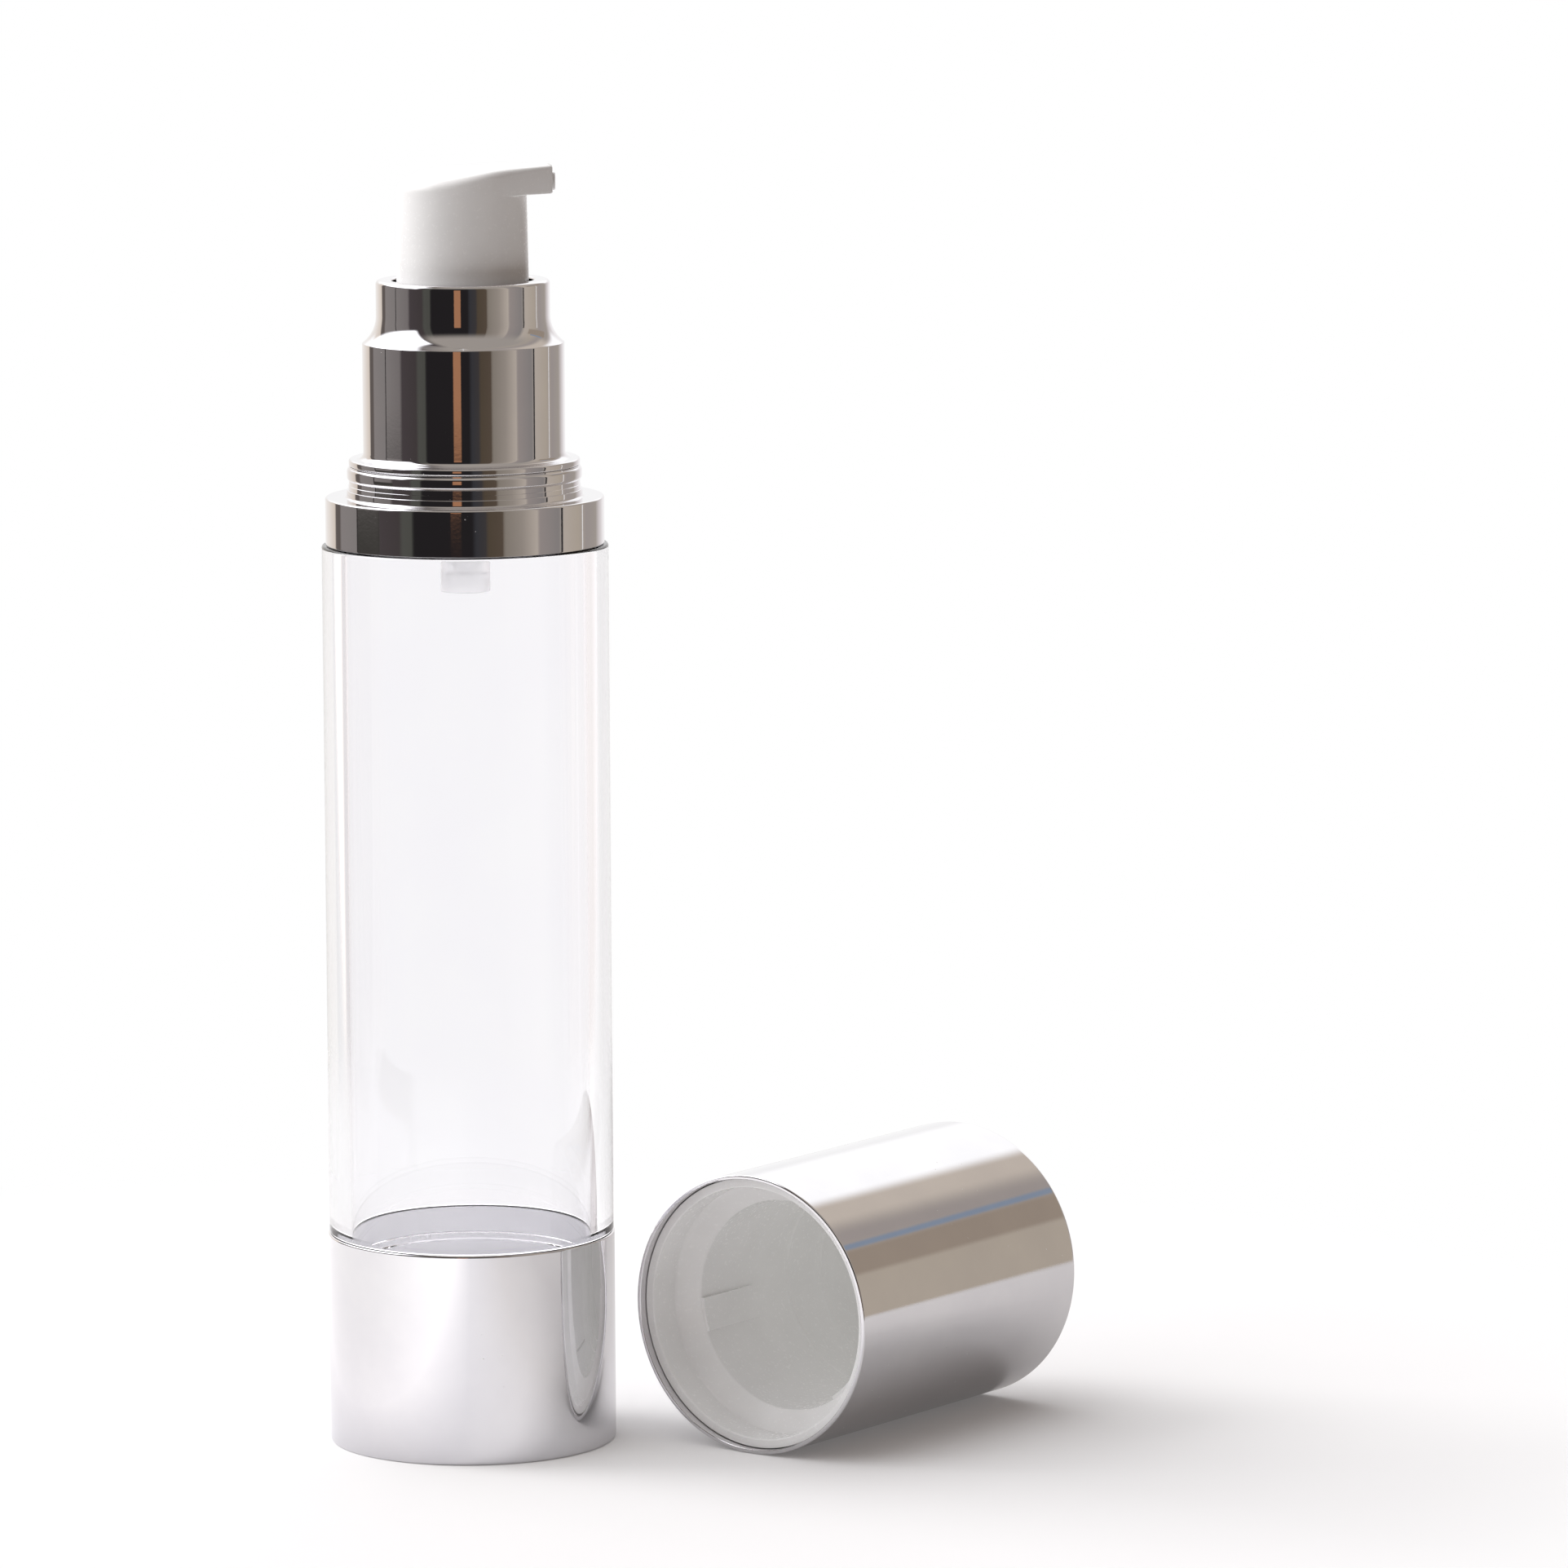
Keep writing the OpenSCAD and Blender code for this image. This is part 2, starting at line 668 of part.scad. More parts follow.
module pump_piston() {
    lip_r = chamber_r - run_fit;
    waist_in = 0.45;
    waist_r = lip_r - waist_in;
    lip_band = 0.8;
    slide_r = stem_r + run_fit;
    color("white")
    turned([
        [piston_in, piston_z], [lip_r - chamfer, piston_z], [lip_r, piston_z + chamfer],
        [lip_r, piston_z + lip_band], [waist_r, piston_z + lip_band + waist_in],
        [waist_r, piston_top - lip_band - waist_in], [lip_r, piston_top - lip_band],
        [lip_r, piston_top], [slide_r, piston_top],
        [slide_r, piston_seat], [piston_in, piston_seat]]);
}

// Crown and spout: one domed form whose rounded edge climbs to the tip
module crown() {
    post_y = tip_w / 2 - tip_edge;
    edge_z = head_side_top - head_edge;
    hull() {
        translate([0, 0, spout_z]) cylinder(r = head_r, h = tip_edge, $fn = hull_fn * 2);
        translate([0, 0, edge_z])
            rotate([0, -top_slope, 0])
            rotate_extrude($fn = hull_fn * 2)
            translate([head_r - head_edge, 0])
            intersection() {
                circle(head_edge, $fn = hull_fn);
                square(head_edge);
            }
        translate([0, 0, edge_z])
            scale([dome_r, dome_r, head_edge + dome_h])
            sphere(1, $fn = hull_fn * 2);
        for (side = [-1, 1])
            translate([tip_x - tip_edge, side * post_y, spout_z]) {
                cylinder(r = tip_edge, h = tip_edge, $fn = hull_fn);
                translate([0, 0, tip_h - tip_edge]) sphere(tip_edge, $fn = hull_fn);
            }
    }
}

module actuator() {
    color("white")
    difference() {
        union() {
            difference() {
                union() {
                    translate([0, 0, head_low])
                        cylinder(r1 = head_low_r, r2 = head_r, h = spout_z - head_low);
                    crown();
                }
                translate([0, 0, head_low - over])
                    cylinder(r = head_r - head_wall, h = head_ceiling - head_low + over);
            }
            translate([0, 0, post_z]) cylinder(r = post_r, h = spout_z - post_z);
        }
        translate([0, 0, post_z - over])
            cylinder(r = post_in, h = socket_z - post_z + over);
        translate([0, 0, socket_z - over]) cylinder(r = rise_r, h = duct_z - socket_z + over);
        translate([0, 0, duct_z]) rotate([0, 90, 0]) cylinder(r = duct_r, h = tip_x + over);
        translate([nozzle_x - stop_gap, 0, duct_z])
            rotate([0, 90, 0])
            cylinder(r = nozzle_r + fixed_fit, h = nozzle_l + over);
    }
}

module nozzle_insert() {
    edge = chamfer / 2;
    color("white")
    translate([nozzle_x, 0, duct_z])
    rotate([0, 90, 0])
    turned([
        [outlet_d / 2, 0], [nozzle_r, 0], [nozzle_r, nozzle_l - edge], [nozzle_r - edge, nozzle_l],
        [outlet_d / 2, nozzle_l]]);
}

// The cap's own axis, mouth at its origin, laid on the surface beside the bottle
module lay_cap() {
    translate([cap_x, cap_y, cap_r])
        rotate([0, 90, cap_turn])
        children();
}

module overcap_shell() {
    mouth_edge = cap_wall / 3;
    color("silver")
    lay_cap()
    turned(concat(
        [[cap_in, 0]],
        arc(cap_r - mouth_edge, mouth_edge, mouth_edge, -90, 0),
        arc(cap_r - cap_edge, cap_h - cap_edge, cap_edge, 0, 90),
        [[0, cap_h], [0, cap_h - cap_end], [cap_in, cap_h - cap_end]]));
}

module overcap_liner() {
    step_1 = liner_r - bore_step;
    step_2 = step_1 - bore_step;
    out_r = liner_r + liner_wall;
    flare = liner_out - out_r;
    step_slope = 0.2;
    rib_gap = 0.1;
    pad_gap = 0.1;
    color("white")
    lay_cap()
    union() {
        turned([
            [liner_mouth_r, liner_recess], [liner_out, liner_recess],
            [liner_out, narrow_z], [out_r, narrow_z + flare], [out_r, liner_depth + liner_wall],
            [0, liner_depth + liner_wall], [0, liner_depth], [step_2, liner_depth],
            [step_2, second_step], [step_1, second_step - step_slope], [step_1, first_step],
            [liner_r, first_step - step_slope], [liner_r, liner_bore_z], [liner_mouth_r, narrow_z]]);
        for (turn = [0:360 / cap_ribs:359])
            rotate(turn)
            translate([out_r - root, -cap_rib_t / 2, narrow_z + flare - root])
            cube([flare + root - rib_gap, cap_rib_t, liner_depth - narrow_z - flare]);
        for (turn = pad_turns)
            rotate(turn)
            translate([0, 0, liner_bore_z + pad_gap])
            grip_pad();
    }
}

// A pad on the inside of the liner's bore, at its own +X
module grip_pad() {
    intersection() {
        difference() {
            cylinder(r = liner_r + liner_wall / 2, h = pad_l);
            translate([0, 0, -over]) cylinder(r = liner_r - pad_out, h = pad_l + 2 * over);
        }
        translate([0, -pad_w / 2, 0]) cube([liner_r + liner_wall, pad_w, pad_l]);
    }
}

base_shell();
body_tube();
follower_piston();
shoulder();
inner_plug();
pump_collar();
pump_closure();
pump_housing();
housing_gasket();
inlet_ball();
stem_guide();
return_spring();
stem();
piston_rod();
pump_piston();
actuator();
nozzle_insert();
overcap_shell();
overcap_liner();
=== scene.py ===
"""How the airless pump bottle looks. Metres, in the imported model's frame; profiles are in millimetres."""
import math

import bmesh
import bpy
from mathutils import Matrix, Vector


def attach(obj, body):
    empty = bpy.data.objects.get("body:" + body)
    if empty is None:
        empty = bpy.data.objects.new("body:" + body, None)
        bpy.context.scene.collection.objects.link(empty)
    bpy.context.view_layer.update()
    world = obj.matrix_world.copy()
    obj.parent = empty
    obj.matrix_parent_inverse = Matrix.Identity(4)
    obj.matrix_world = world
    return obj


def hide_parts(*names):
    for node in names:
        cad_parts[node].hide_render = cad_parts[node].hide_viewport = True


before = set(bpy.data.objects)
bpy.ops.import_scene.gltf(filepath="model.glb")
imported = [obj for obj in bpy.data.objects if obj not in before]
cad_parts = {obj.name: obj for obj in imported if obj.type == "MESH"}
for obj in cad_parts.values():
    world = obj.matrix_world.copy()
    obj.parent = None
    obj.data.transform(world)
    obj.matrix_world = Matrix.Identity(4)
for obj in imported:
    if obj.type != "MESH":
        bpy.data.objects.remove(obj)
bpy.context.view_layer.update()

MM = 0.001
# Steps round a turned piece: most pieces, mirrors and the clear wall, and thin pieces inside
AROUND = 160
FINE = 224
SMALL = 96
# Edges that turn more than this stay sharp
SHARP = math.radians(32)
# Points closer than this, in metres, are one point
SAME = 1e-7


# Shader sums and nodes

# The bore of the base that is painted white and given a painted glow, in metres: its squared radius and its
# height, each from white to silver
BORE_EDGE = (0.000248, 0.000253)
BORE_TOP = (0.0241, 0.0243)
# Where the painted glow deep in the cap sets in: the way along its axis, in metres from the origin, and its
# painted glow
INTO_CAP = (0.621, 0.784, 0)
DEEP = (0.014, 0.034)
DEEP_PAINTED_GLOW = (0.075, 0.075, 0.072)


class Wire:
    """A shader socket that takes part in sums: 1 - mask adds its Math node."""

    def __init__(self, sheet, socket):
        self.sheet = sheet
        self.socket = socket

    def sum(self, operation, first, second):
        return self.sheet.add("ShaderNodeMath", {"operation": operation}, {0: first, 1: second})

    def __add__(self, other):
        return self.sum("ADD", self, other)

    __radd__ = __add__

    def __sub__(self, other):
        return self.sum("SUBTRACT", self, other)

    def __rsub__(self, other):
        return self.sum("SUBTRACT", other, self)

    def __mul__(self, other):
        return self.sum("MULTIPLY", self, other)

    __rmul__ = __mul__


class Sheet:
    """The nodes of one material or of the world."""

    def __init__(self, owner):
        owner.use_nodes = True
        self.tree = owner.node_tree
        self.tree.nodes.clear()

    def add(self, kind, settings=None, sockets=None, out=0):
        """One node: its settings come first, then the values or links of its sockets."""
        node = self.tree.nodes.new(kind)
        for name, value in (settings or {}).items():
            if name == "stops":
                self.set_stops(node.color_ramp, value)
            else:
                setattr(node, name, value)
        for name, value in (sockets or {}).items():
            if isinstance(value, Wire):
                self.tree.links.new(value.socket, node.inputs[name])
            else:
                node.inputs[name].default_value = value
        return Wire(self, node.outputs[out]) if node.outputs else None

    @staticmethod
    def set_stops(ramp, stops):
        ramp.elements[0].position = stops[0][0]
        ramp.elements[0].color = (*stops[0][1], 1)
        ramp.elements[1].position = stops[-1][0]
        ramp.elements[1].color = (*stops[-1][1], 1)
        for place, colour in stops[1:-1]:
            ramp.elements.new(place).color = (*colour, 1)

    def noise(self, place, scale, detail=3.0, roughness=0.5):
        return self.add("ShaderNodeTexNoise", None,
                        {"Vector": place, "Scale": scale, "Detail": detail, "Roughness": roughness})

    def spread(self, value, low, high, to_low, to_high):
        """The value's range low to high, moved to to_low to to_high and held there."""
        return self.add("ShaderNodeMapRange", {"interpolation_type": "SMOOTHSTEP"},
                        {"Value": value, "From Min": low, "From Max": high,
                         "To Min": to_low, "To Max": to_high})

    def tint(self, share, first, second):
        """First colour where share is 0, second where it is 1."""
        colours = {6: first, 7: second}
        colours = {k: v if isinstance(v, Wire) else (*v, 1) for k, v in colours.items()}
        return self.add("ShaderNodeMix", {"data_type": "RGBA"}, {0: share, **colours}, 2)


class Finish(Sheet):
    """A material around one Principled shader, with patterns on Object coordinates."""

    def __init__(self, name):
        self.material = bpy.data.materials.new(name)
        super().__init__(self.material)
        self.place = self.add("ShaderNodeTexCoord", None, None, 3)

    def surface(self, sockets, bump=None, depth=0.0):
        """bump is a height between 0 and 1, and depth what 1 stands for, in metres."""
        if bump is not None:
            sockets["Normal"] = self.add("ShaderNodeBump", None,
                                         {"Strength": 1.0, "Distance": depth, "Height": bump})
        shader = self.add("ShaderNodeBsdfPrincipled", None, sockets)
        self.add("ShaderNodeOutputMaterial", None, {"Surface": shader})
        return self.material


def silver_plating():
    """Mirror-bright plating: faint smears, a few hairline waves of the plastic below, specks of dust. The
    base cup's bore is white, not metal, with a painted glow that stands in for the pale light it mirrors."""
    f = Finish("silver_plating")
    spot = f.add("ShaderNodeSeparateXYZ", None, {0: f.place}).socket.node
    x, y, z = (Wire(f, spot.outputs[i]) for i in range(3))
    # The bore is made white, not metal, and given a painted glow: painted light that stands in for the pale
    # light it mirrors
    painted_white_bore = f.spread(x * x + y * y, *BORE_EDGE, 1.0, 0.0) * f.spread(z, *BORE_TOP, 1.0, 0.0)
    smear = f.noise(f.place, 90.0, 4.0, 0.6)
    wave = f.noise(f.place, 45.0, 1.0)
    grain = f.noise(f.place, 2500.0, 2.0)
    near = f.add("ShaderNodeTexVoronoi", None, {"Vector": f.place, "Scale": 620.0})
    dusty = f.spread(f.noise(f.place, 60.0, 2.0), 0.52, 0.66, 0.0, 1.0)
    dust = f.spread(near, 0.035, 0.05, 1.0, 0.0) * dusty
    colour = f.tint(f.spread(smear, 0.3, 0.7, 0.0, 1.0), (0.80, 0.79, 0.812), (0.84, 0.83, 0.845))
    return f.surface({
        "Base Color": f.tint(painted_white_bore, f.tint(dust, colour, (0.9, 0.89, 0.87)), (0.88, 0.88, 0.89)),
        "Metallic": (1 - dust) * (1 - painted_white_bore),
        "Roughness": f.spread(smear, 0.35, 0.8, 0.015, 0.055) + dust * 0.6 + painted_white_bore * 0.3,
        # Painted glow on the white bore
        "Emission Color": f.tint(painted_white_bore, (0, 0, 0), (0.2, 0.2, 0.21)),
        "Emission Strength": 1.0,
    }, wave * 0.96 + grain * 0.04, 0.000012)


def clear_wall():
    """Clear acrylic with a very faint lilac tint and light handling marks."""
    f = Finish("clear_wall")
    smear = f.noise(f.place, 70.0, 4.0, 0.6)
    wave = f.noise(f.place, 38.0, 1.0)
    lilac = f.spread(smear, 0.3, 0.7, 0.0, 1.0)
    return f.surface({
        "Base Color": f.tint(lilac, (0.975, 0.968, 0.985), (0.985, 0.98, 0.99)),
        "Roughness": f.spread(smear, 0.5, 0.8, 0.008, 0.035),
        "IOR": 1.49,
        "Transmission Weight": 1.0,
    }, wave, 0.000006)


def moulded(name, low, high, rough, grain_scale, depth, sheen=0.5, glow=0.0):
    """Moulded plastic: two close tones, a fine spark-eroded grain and soft flow marks. It has a faint
    painted glow that stands in for light: deep in the cap, and on the pieces inside the bottle."""
    f = Finish(name)
    tone = f.noise(f.place, 120.0, 3.0, 0.55)
    grain = f.noise(f.place, grain_scale, 3.0, 0.6)
    flow = f.noise(f.place, 60.0, 1.0)
    along = f.add("ShaderNodeVectorMath", {"operation": "DOT_PRODUCT"}, {0: f.place, 1: INTO_CAP}, 1)
    deep = f.spread(along, *DEEP, 0.0, 1.0)
    return f.surface({
        "Base Color": f.tint(f.spread(tone, 0.3, 0.7, 0.0, 1.0), low, high),
        # Painted glow that stands in for light: deep in the cap, and all over a piece that is given a glow
        "Emission Color": f.tint(deep, (glow, glow, glow), DEEP_PAINTED_GLOW),
        "Emission Strength": 1.0,
        "Roughness": f.spread(grain, 0.25, 0.75, rough * 0.85, rough * 1.2),
        "Specular IOR Level": sheen,
    }, grain * 0.12 + flow * 0.88, depth)


def natural_plastic():
    """Unpigmented polypropylene, milky and half see-through, with a faint painted glow that stands in for
    the light inside the bottle.
    """
    f = Finish("natural_plastic")
    cloud = f.noise(f.place, 300.0, 3.0)
    return f.surface({
        "Base Color": f.tint(cloud, (0.95, 0.95, 0.955), (0.98, 0.98, 0.985)),
        "Roughness": f.spread(cloud, 0.3, 0.7, 0.1, 0.2),
        "IOR": 1.45,
        "Transmission Weight": 0.6,
        # Painted glow that lightens the piece inside the bottle
        "Emission Color": (1, 0.98, 1, 1),
        "Emission Strength": 0.08,
    }, cloud, 0.00001)


def spring_wire():
    """Drawn steel wire: dull lengthwise drawing marks."""
    f = Finish("spring_wire")
    drawn = f.noise(f.place, 1800.0, 3.0, 0.6)
    return f.surface({
        "Base Color": f.tint(drawn, (0.5, 0.5, 0.52), (0.74, 0.74, 0.76)),
        "Metallic": 1.0,
        "Roughness": f.spread(drawn, 0.3, 0.7, 0.22, 0.4),
    }, drawn, 0.000008)


def ball_glass():
    """Clear glass with faint streaks."""
    f = Finish("ball_glass")
    streak = f.noise(f.place, 500.0, 2.0)
    return f.surface({
        "Base Color": f.tint(streak, (0.86, 0.92, 0.94), (0.93, 0.97, 0.98)),
        "Roughness": f.spread(streak, 0.3, 0.7, 0.0, 0.03),
        "IOR": 1.5,
        "Transmission Weight": 0.9,
    })


def seal_foam():
    """Soft gasket foam: closed cells that show as fine pits."""
    f = Finish("seal_foam")
    cells = f.add("ShaderNodeTexVoronoi", None, {"Vector": f.place, "Scale": 4500.0})
    return f.surface({
        "Base Color": f.tint(cells, (0.7, 0.7, 0.69), (0.86, 0.86, 0.85)),
        "Roughness": f.spread(cells, 0.0, 0.6, 0.9, 0.7),
    }, cells, 0.00004)


FINISHES = {
    "silver_plating": silver_plating(),
    "clear_wall": clear_wall(),
    "white_gloss": moulded("white_gloss", (0.86, 0.855, 0.85), (0.9, 0.895, 0.89),
                           rough=0.24, grain_scale=2600.0, depth=0.00001),
    # The matt white pieces inside the bottle get a painted glow of 0.2 that stands in for the light reaching
    # them
    "white_matte": moulded("white_matte", (0.85, 0.85, 0.86), (0.9, 0.9, 0.91),
                           rough=0.42, grain_scale=1900.0, depth=0.00002, sheen=0.4, glow=0.2),
    "natural_plastic": natural_plastic(),
    "natural_solid": moulded("natural_solid", (0.84, 0.83, 0.79), (0.89, 0.885, 0.85),
                             rough=0.34, grain_scale=1500.0, depth=0.00001),
    "spring_wire": spring_wire(),
    "ball_glass": ball_glass(),
    "seal_foam": seal_foam(),
}


# Shapes

def rounded(points, steps=5, most=0.49):
    """A closed profile whose corners are rounded by the third number of their point, in mm. A rounding takes
    at most the share most of a side."""
    line = []
    count = len(points)
    for i, point in enumerate(points):
        corner = Vector(point[:2])
        radius = point[2] if len(point) > 2 else 0
        back = Vector(points[i - 1][:2]) - corner
        ahead = Vector(points[(i + 1) % count][:2]) - corner
        if radius == 0:
            line.append(corner)
            continue
        half = back.angle(ahead) / 2
        reach = min(radius / math.tan(half), back.length * most, ahead.length * most)
        radius = reach * math.tan(half)
        middle = corner + (back.normalized() + ahead.normalized()).normalized() * radius / math.sin(half)
        start = corner + back.normalized() * reach - middle
        end = corner + ahead.normalized() * reach - middle
        turn = start.angle_signed(end)
        for k in range(steps + 1):
            line.append(middle + Matrix.Rotation(-turn * k / steps, 2) @ start)
    return guarded(line)


def guarded(line, near=0.05, straight=0.6):
    """Adds a point close to both ends of each straight, so that smooth shading stays flat between them."""
    full = []
    for i, point in enumerate(line):
        ahead = line[(i + 1) % len(line)]
        full.append(point)
        span = ahead - point
        if span.length > straight:
            full += [point + span.normalized() * near, ahead - span.normalized() * near]
    return full


def arc_points(x, z, radius, start, end, steps):
    """Points on an arc, without its first and last."""
    angles = [math.radians(start + (end - start) * k / steps) for k in range(1, steps)]
    return [(x + radius * math.cos(a), z + radius * math.sin(a)) for a in angles]


def spin_rings(mesh, line, count):
    """Sweeps a closed line of (r, z), in mm, round Z in count steps. A point on Z stays one point."""
    angles = [math.tau * k / count for k in range(count)]
    rings = []
    for r, z in line:
        if r == 0:
            rings.append([mesh.verts.new((0, 0, z * MM))] * count)
        else:
            rings.append([mesh.verts.new((r * math.cos(a) * MM, r * math.sin(a) * MM, z * MM))
                          for a in angles])
    for i, ring in enumerate(rings):
        skin(mesh, ring, rings[(i + 1) % len(rings)])


def skin(mesh, ring, other):
    """Faces between two rings of the same length; a ring that is one point makes a fan."""
    count = len(ring)
    for k in range(count):
        face = []
        for vert in (ring[k], ring[(k + 1) % count], other[(k + 1) % count], other[k]):
            if vert not in face:
                face.append(vert)
        if len(face) > 2:
            mesh.faces.new(face)


def finished(name, mesh, node, body, finish):
    """Closes a bmesh's seams, points its faces outwards and makes it a finished piece."""
    bmesh.ops.remove_doubles(mesh, verts=mesh.verts, dist=SAME)
    bmesh.ops.recalc_face_normals(mesh, faces=mesh.faces)
    data = bpy.data.meshes.new(name)
    mesh.to_mesh(data)
    mesh.free()
    return placed(name, data, node, body, finish)


def placed(name, data, node, body, finish):
    """Puts a mesh in the scene as a finished piece that stands for a CAD node and rides on its body."""
    data.shade_smooth()
    data.set_sharp_from_angle(angle=SHARP)
    data.materials.clear()
    data.materials.append(FINISHES[finish])
    piece = bpy.data.objects.new(name, data)
    bpy.context.scene.collection.objects.link(piece)
    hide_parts(node)
    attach(piece, body)
    return piece


def turned(node, body, finish, profile, place=None, around=AROUND):
    """A piece turned round Z from its profile, or round the axis that place gives it."""
    mesh = bmesh.new()
    spin_rings(mesh, rounded(profile), around)
    if place is not None:
        mesh.transform(place)
    return finished(node + "_look", mesh, node, body, finish)


def brick(x, y, z, place):
    """A cutter block between two corners, in mm, moved by place."""
    mesh = bmesh.new()
    bmesh.ops.create_cube(mesh, size=1.0)
    size = [b - a for a, b in (x, y, z)]
    middle = [(a + b) / 2 for a, b in (x, y, z)]
    mesh.transform(Matrix.Translation(Vector(middle) * MM) @ Matrix.Diagonal((*(Vector(size) * MM), 1)))
    mesh.transform(place)
    return mesh


def cut(piece, cutters):
    """Takes the cutters' shapes away from a piece."""
    for mesh in cutters:
        bmesh.ops.recalc_face_normals(mesh, faces=mesh.faces)
        data = bpy.data.meshes.new("cutter")
        mesh.to_mesh(data)
        mesh.free()
        tool = bpy.data.objects.new("cutter", data)
        bpy.context.scene.collection.objects.link(tool)
        step = piece.modifiers.new("cut", "BOOLEAN")
        step.operation = "DIFFERENCE"
        step.solver = "EXACT"
        step.object = tool
        bpy.context.view_layer.update()
        kept = bpy.data.meshes.new_from_object(piece.evaluated_get(bpy.context.evaluated_depsgraph_get()))
        piece.modifiers.remove(step)
        piece.data = kept
        bpy.data.objects.remove(tool)
    piece.data.shade_smooth()
    piece.data.set_sharp_from_angle(angle=SHARP)


# Geometry Nodes

class Growth:
    """A Geometry Nodes tree with named inputs, run once on an empty mesh."""

    def __init__(self, name, inputs):
        self.tree = bpy.data.node_groups.new(name, "GeometryNodeTree")
        self.tree.interface.new_socket("Geometry", in_out="OUTPUT", socket_type="NodeSocketGeometry")
        for label, kind in inputs.items():
            self.tree.interface.new_socket(label, in_out="INPUT", socket_type=kind)
        self.given = self.tree.nodes.new("NodeGroupInput")

    def add(self, kind, settings=None, sockets=None):
        """One node, and its first output: settings come first, then the values or links of its sockets."""
        node = self.tree.nodes.new(kind)
        for name, value in (settings or {}).items():
            setattr(node, name, value)
        for name, value in (sockets or {}).items():
            if isinstance(value, bpy.types.NodeSocket):
                self.tree.links.new(value, node.inputs[name])
            else:
                node.inputs[name].default_value = value
        return node.outputs[0]

    def math(self, operation, first, second=0.0):
        return self.add("ShaderNodeMath", {"operation": operation}, {0: first, 1: second})

    def ask(self, label):
        """One of the tree's named inputs."""
        return self.given.outputs[label]

    def end(self, geometry):
        """Closes the tree: real geometry with its finish."""
        whole = self.add("GeometryNodeRealizeInstances", None, {0: geometry})
        dressed = self.add("GeometryNodeSetMaterial", None, {0: whole, "Material": self.ask("Finish")})
        last = self.tree.nodes.new("NodeGroupOutput")
        self.tree.links.new(dressed, last.inputs[0])

    def grow(self, node, body, finish, values, name, place=None):
        """Runs the tree and keeps its result as a plain mesh that rides on body."""
        host = bpy.data.objects.new("host", bpy.data.meshes.new("host"))
        bpy.context.scene.collection.objects.link(host)
        step = host.modifiers.new("growth", "NODES")
        step.node_group = self.tree
        for item in self.tree.interface.items_tree:
            if item.in_out == "INPUT":
                step[item.identifier] = FINISHES[finish] if item.name == "Finish" else values[item.name]
        bpy.context.view_layer.update()
        data = bpy.data.meshes.new_from_object(host.evaluated_get(bpy.context.evaluated_depsgraph_get()))
        host.modifiers.remove(step)
        bpy.data.objects.remove(host)
        mesh = bmesh.new()
        mesh.from_mesh(data)
        if place is not None:
            mesh.transform(place)
        return finished(name, mesh, node, body, finish)


def ring_of_blocks():
    """Blocks bent round Z, the same way apart: ribs, pads and the like. Sizes in metres."""
    g = Growth("ring_of_blocks", {
        "Count": "NodeSocketInt", "Inner": "NodeSocketFloat", "Outer": "NodeSocketFloat",
        "Width": "NodeSocketFloat", "Low": "NodeSocketFloat", "High": "NodeSocketFloat",
        "First": "NodeSocketFloat", "Finish": "NodeSocketMaterial"})
    block = g.add("GeometryNodeMeshCube", None,
                  {"Size": (1, 1, 1), "Vertices X": 3, "Vertices Y": 12, "Vertices Z": 6})
    part = g.add("ShaderNodeSeparateXYZ", None, {0: g.add("GeometryNodeInputPosition")}).node
    middle = g.math("MULTIPLY", g.math("ADD", g.ask("Inner"), g.ask("Outer")), 0.5)
    depth = g.math("SUBTRACT", g.ask("Outer"), g.ask("Inner"))
    radius = g.math("ADD", middle, g.math("MULTIPLY", part.outputs[0], depth))
    angle = g.math("DIVIDE", g.math("MULTIPLY", part.outputs[1], g.ask("Width")), middle)
    share = g.math("ADD", part.outputs[2], 0.5)
    height = g.math("ADD", g.ask("Low"),
                    g.math("MULTIPLY", share, g.math("SUBTRACT", g.ask("High"), g.ask("Low"))))
    bent = g.add("ShaderNodeCombineXYZ", None, {
        0: g.math("MULTIPLY", radius, g.math("COSINE", angle)),
        1: g.math("MULTIPLY", radius, g.math("SINE", angle)),
        2: height})
    shape = g.add("GeometryNodeSetPosition", None, {"Geometry": block, "Position": bent})
    places = g.add("GeometryNodePoints", None, {"Count": g.ask("Count")})
    turn = g.math("ADD", g.ask("First"), g.math("MULTIPLY", g.add("GeometryNodeInputIndex"),
                                               g.math("DIVIDE", math.tau, g.ask("Count"))))
    turns = g.add("ShaderNodeCombineXYZ", None, {2: turn})
    g.end(g.add("GeometryNodeInstanceOnPoints", None,
                {"Points": places, "Instance": shape, "Rotation": turns}))
    return g


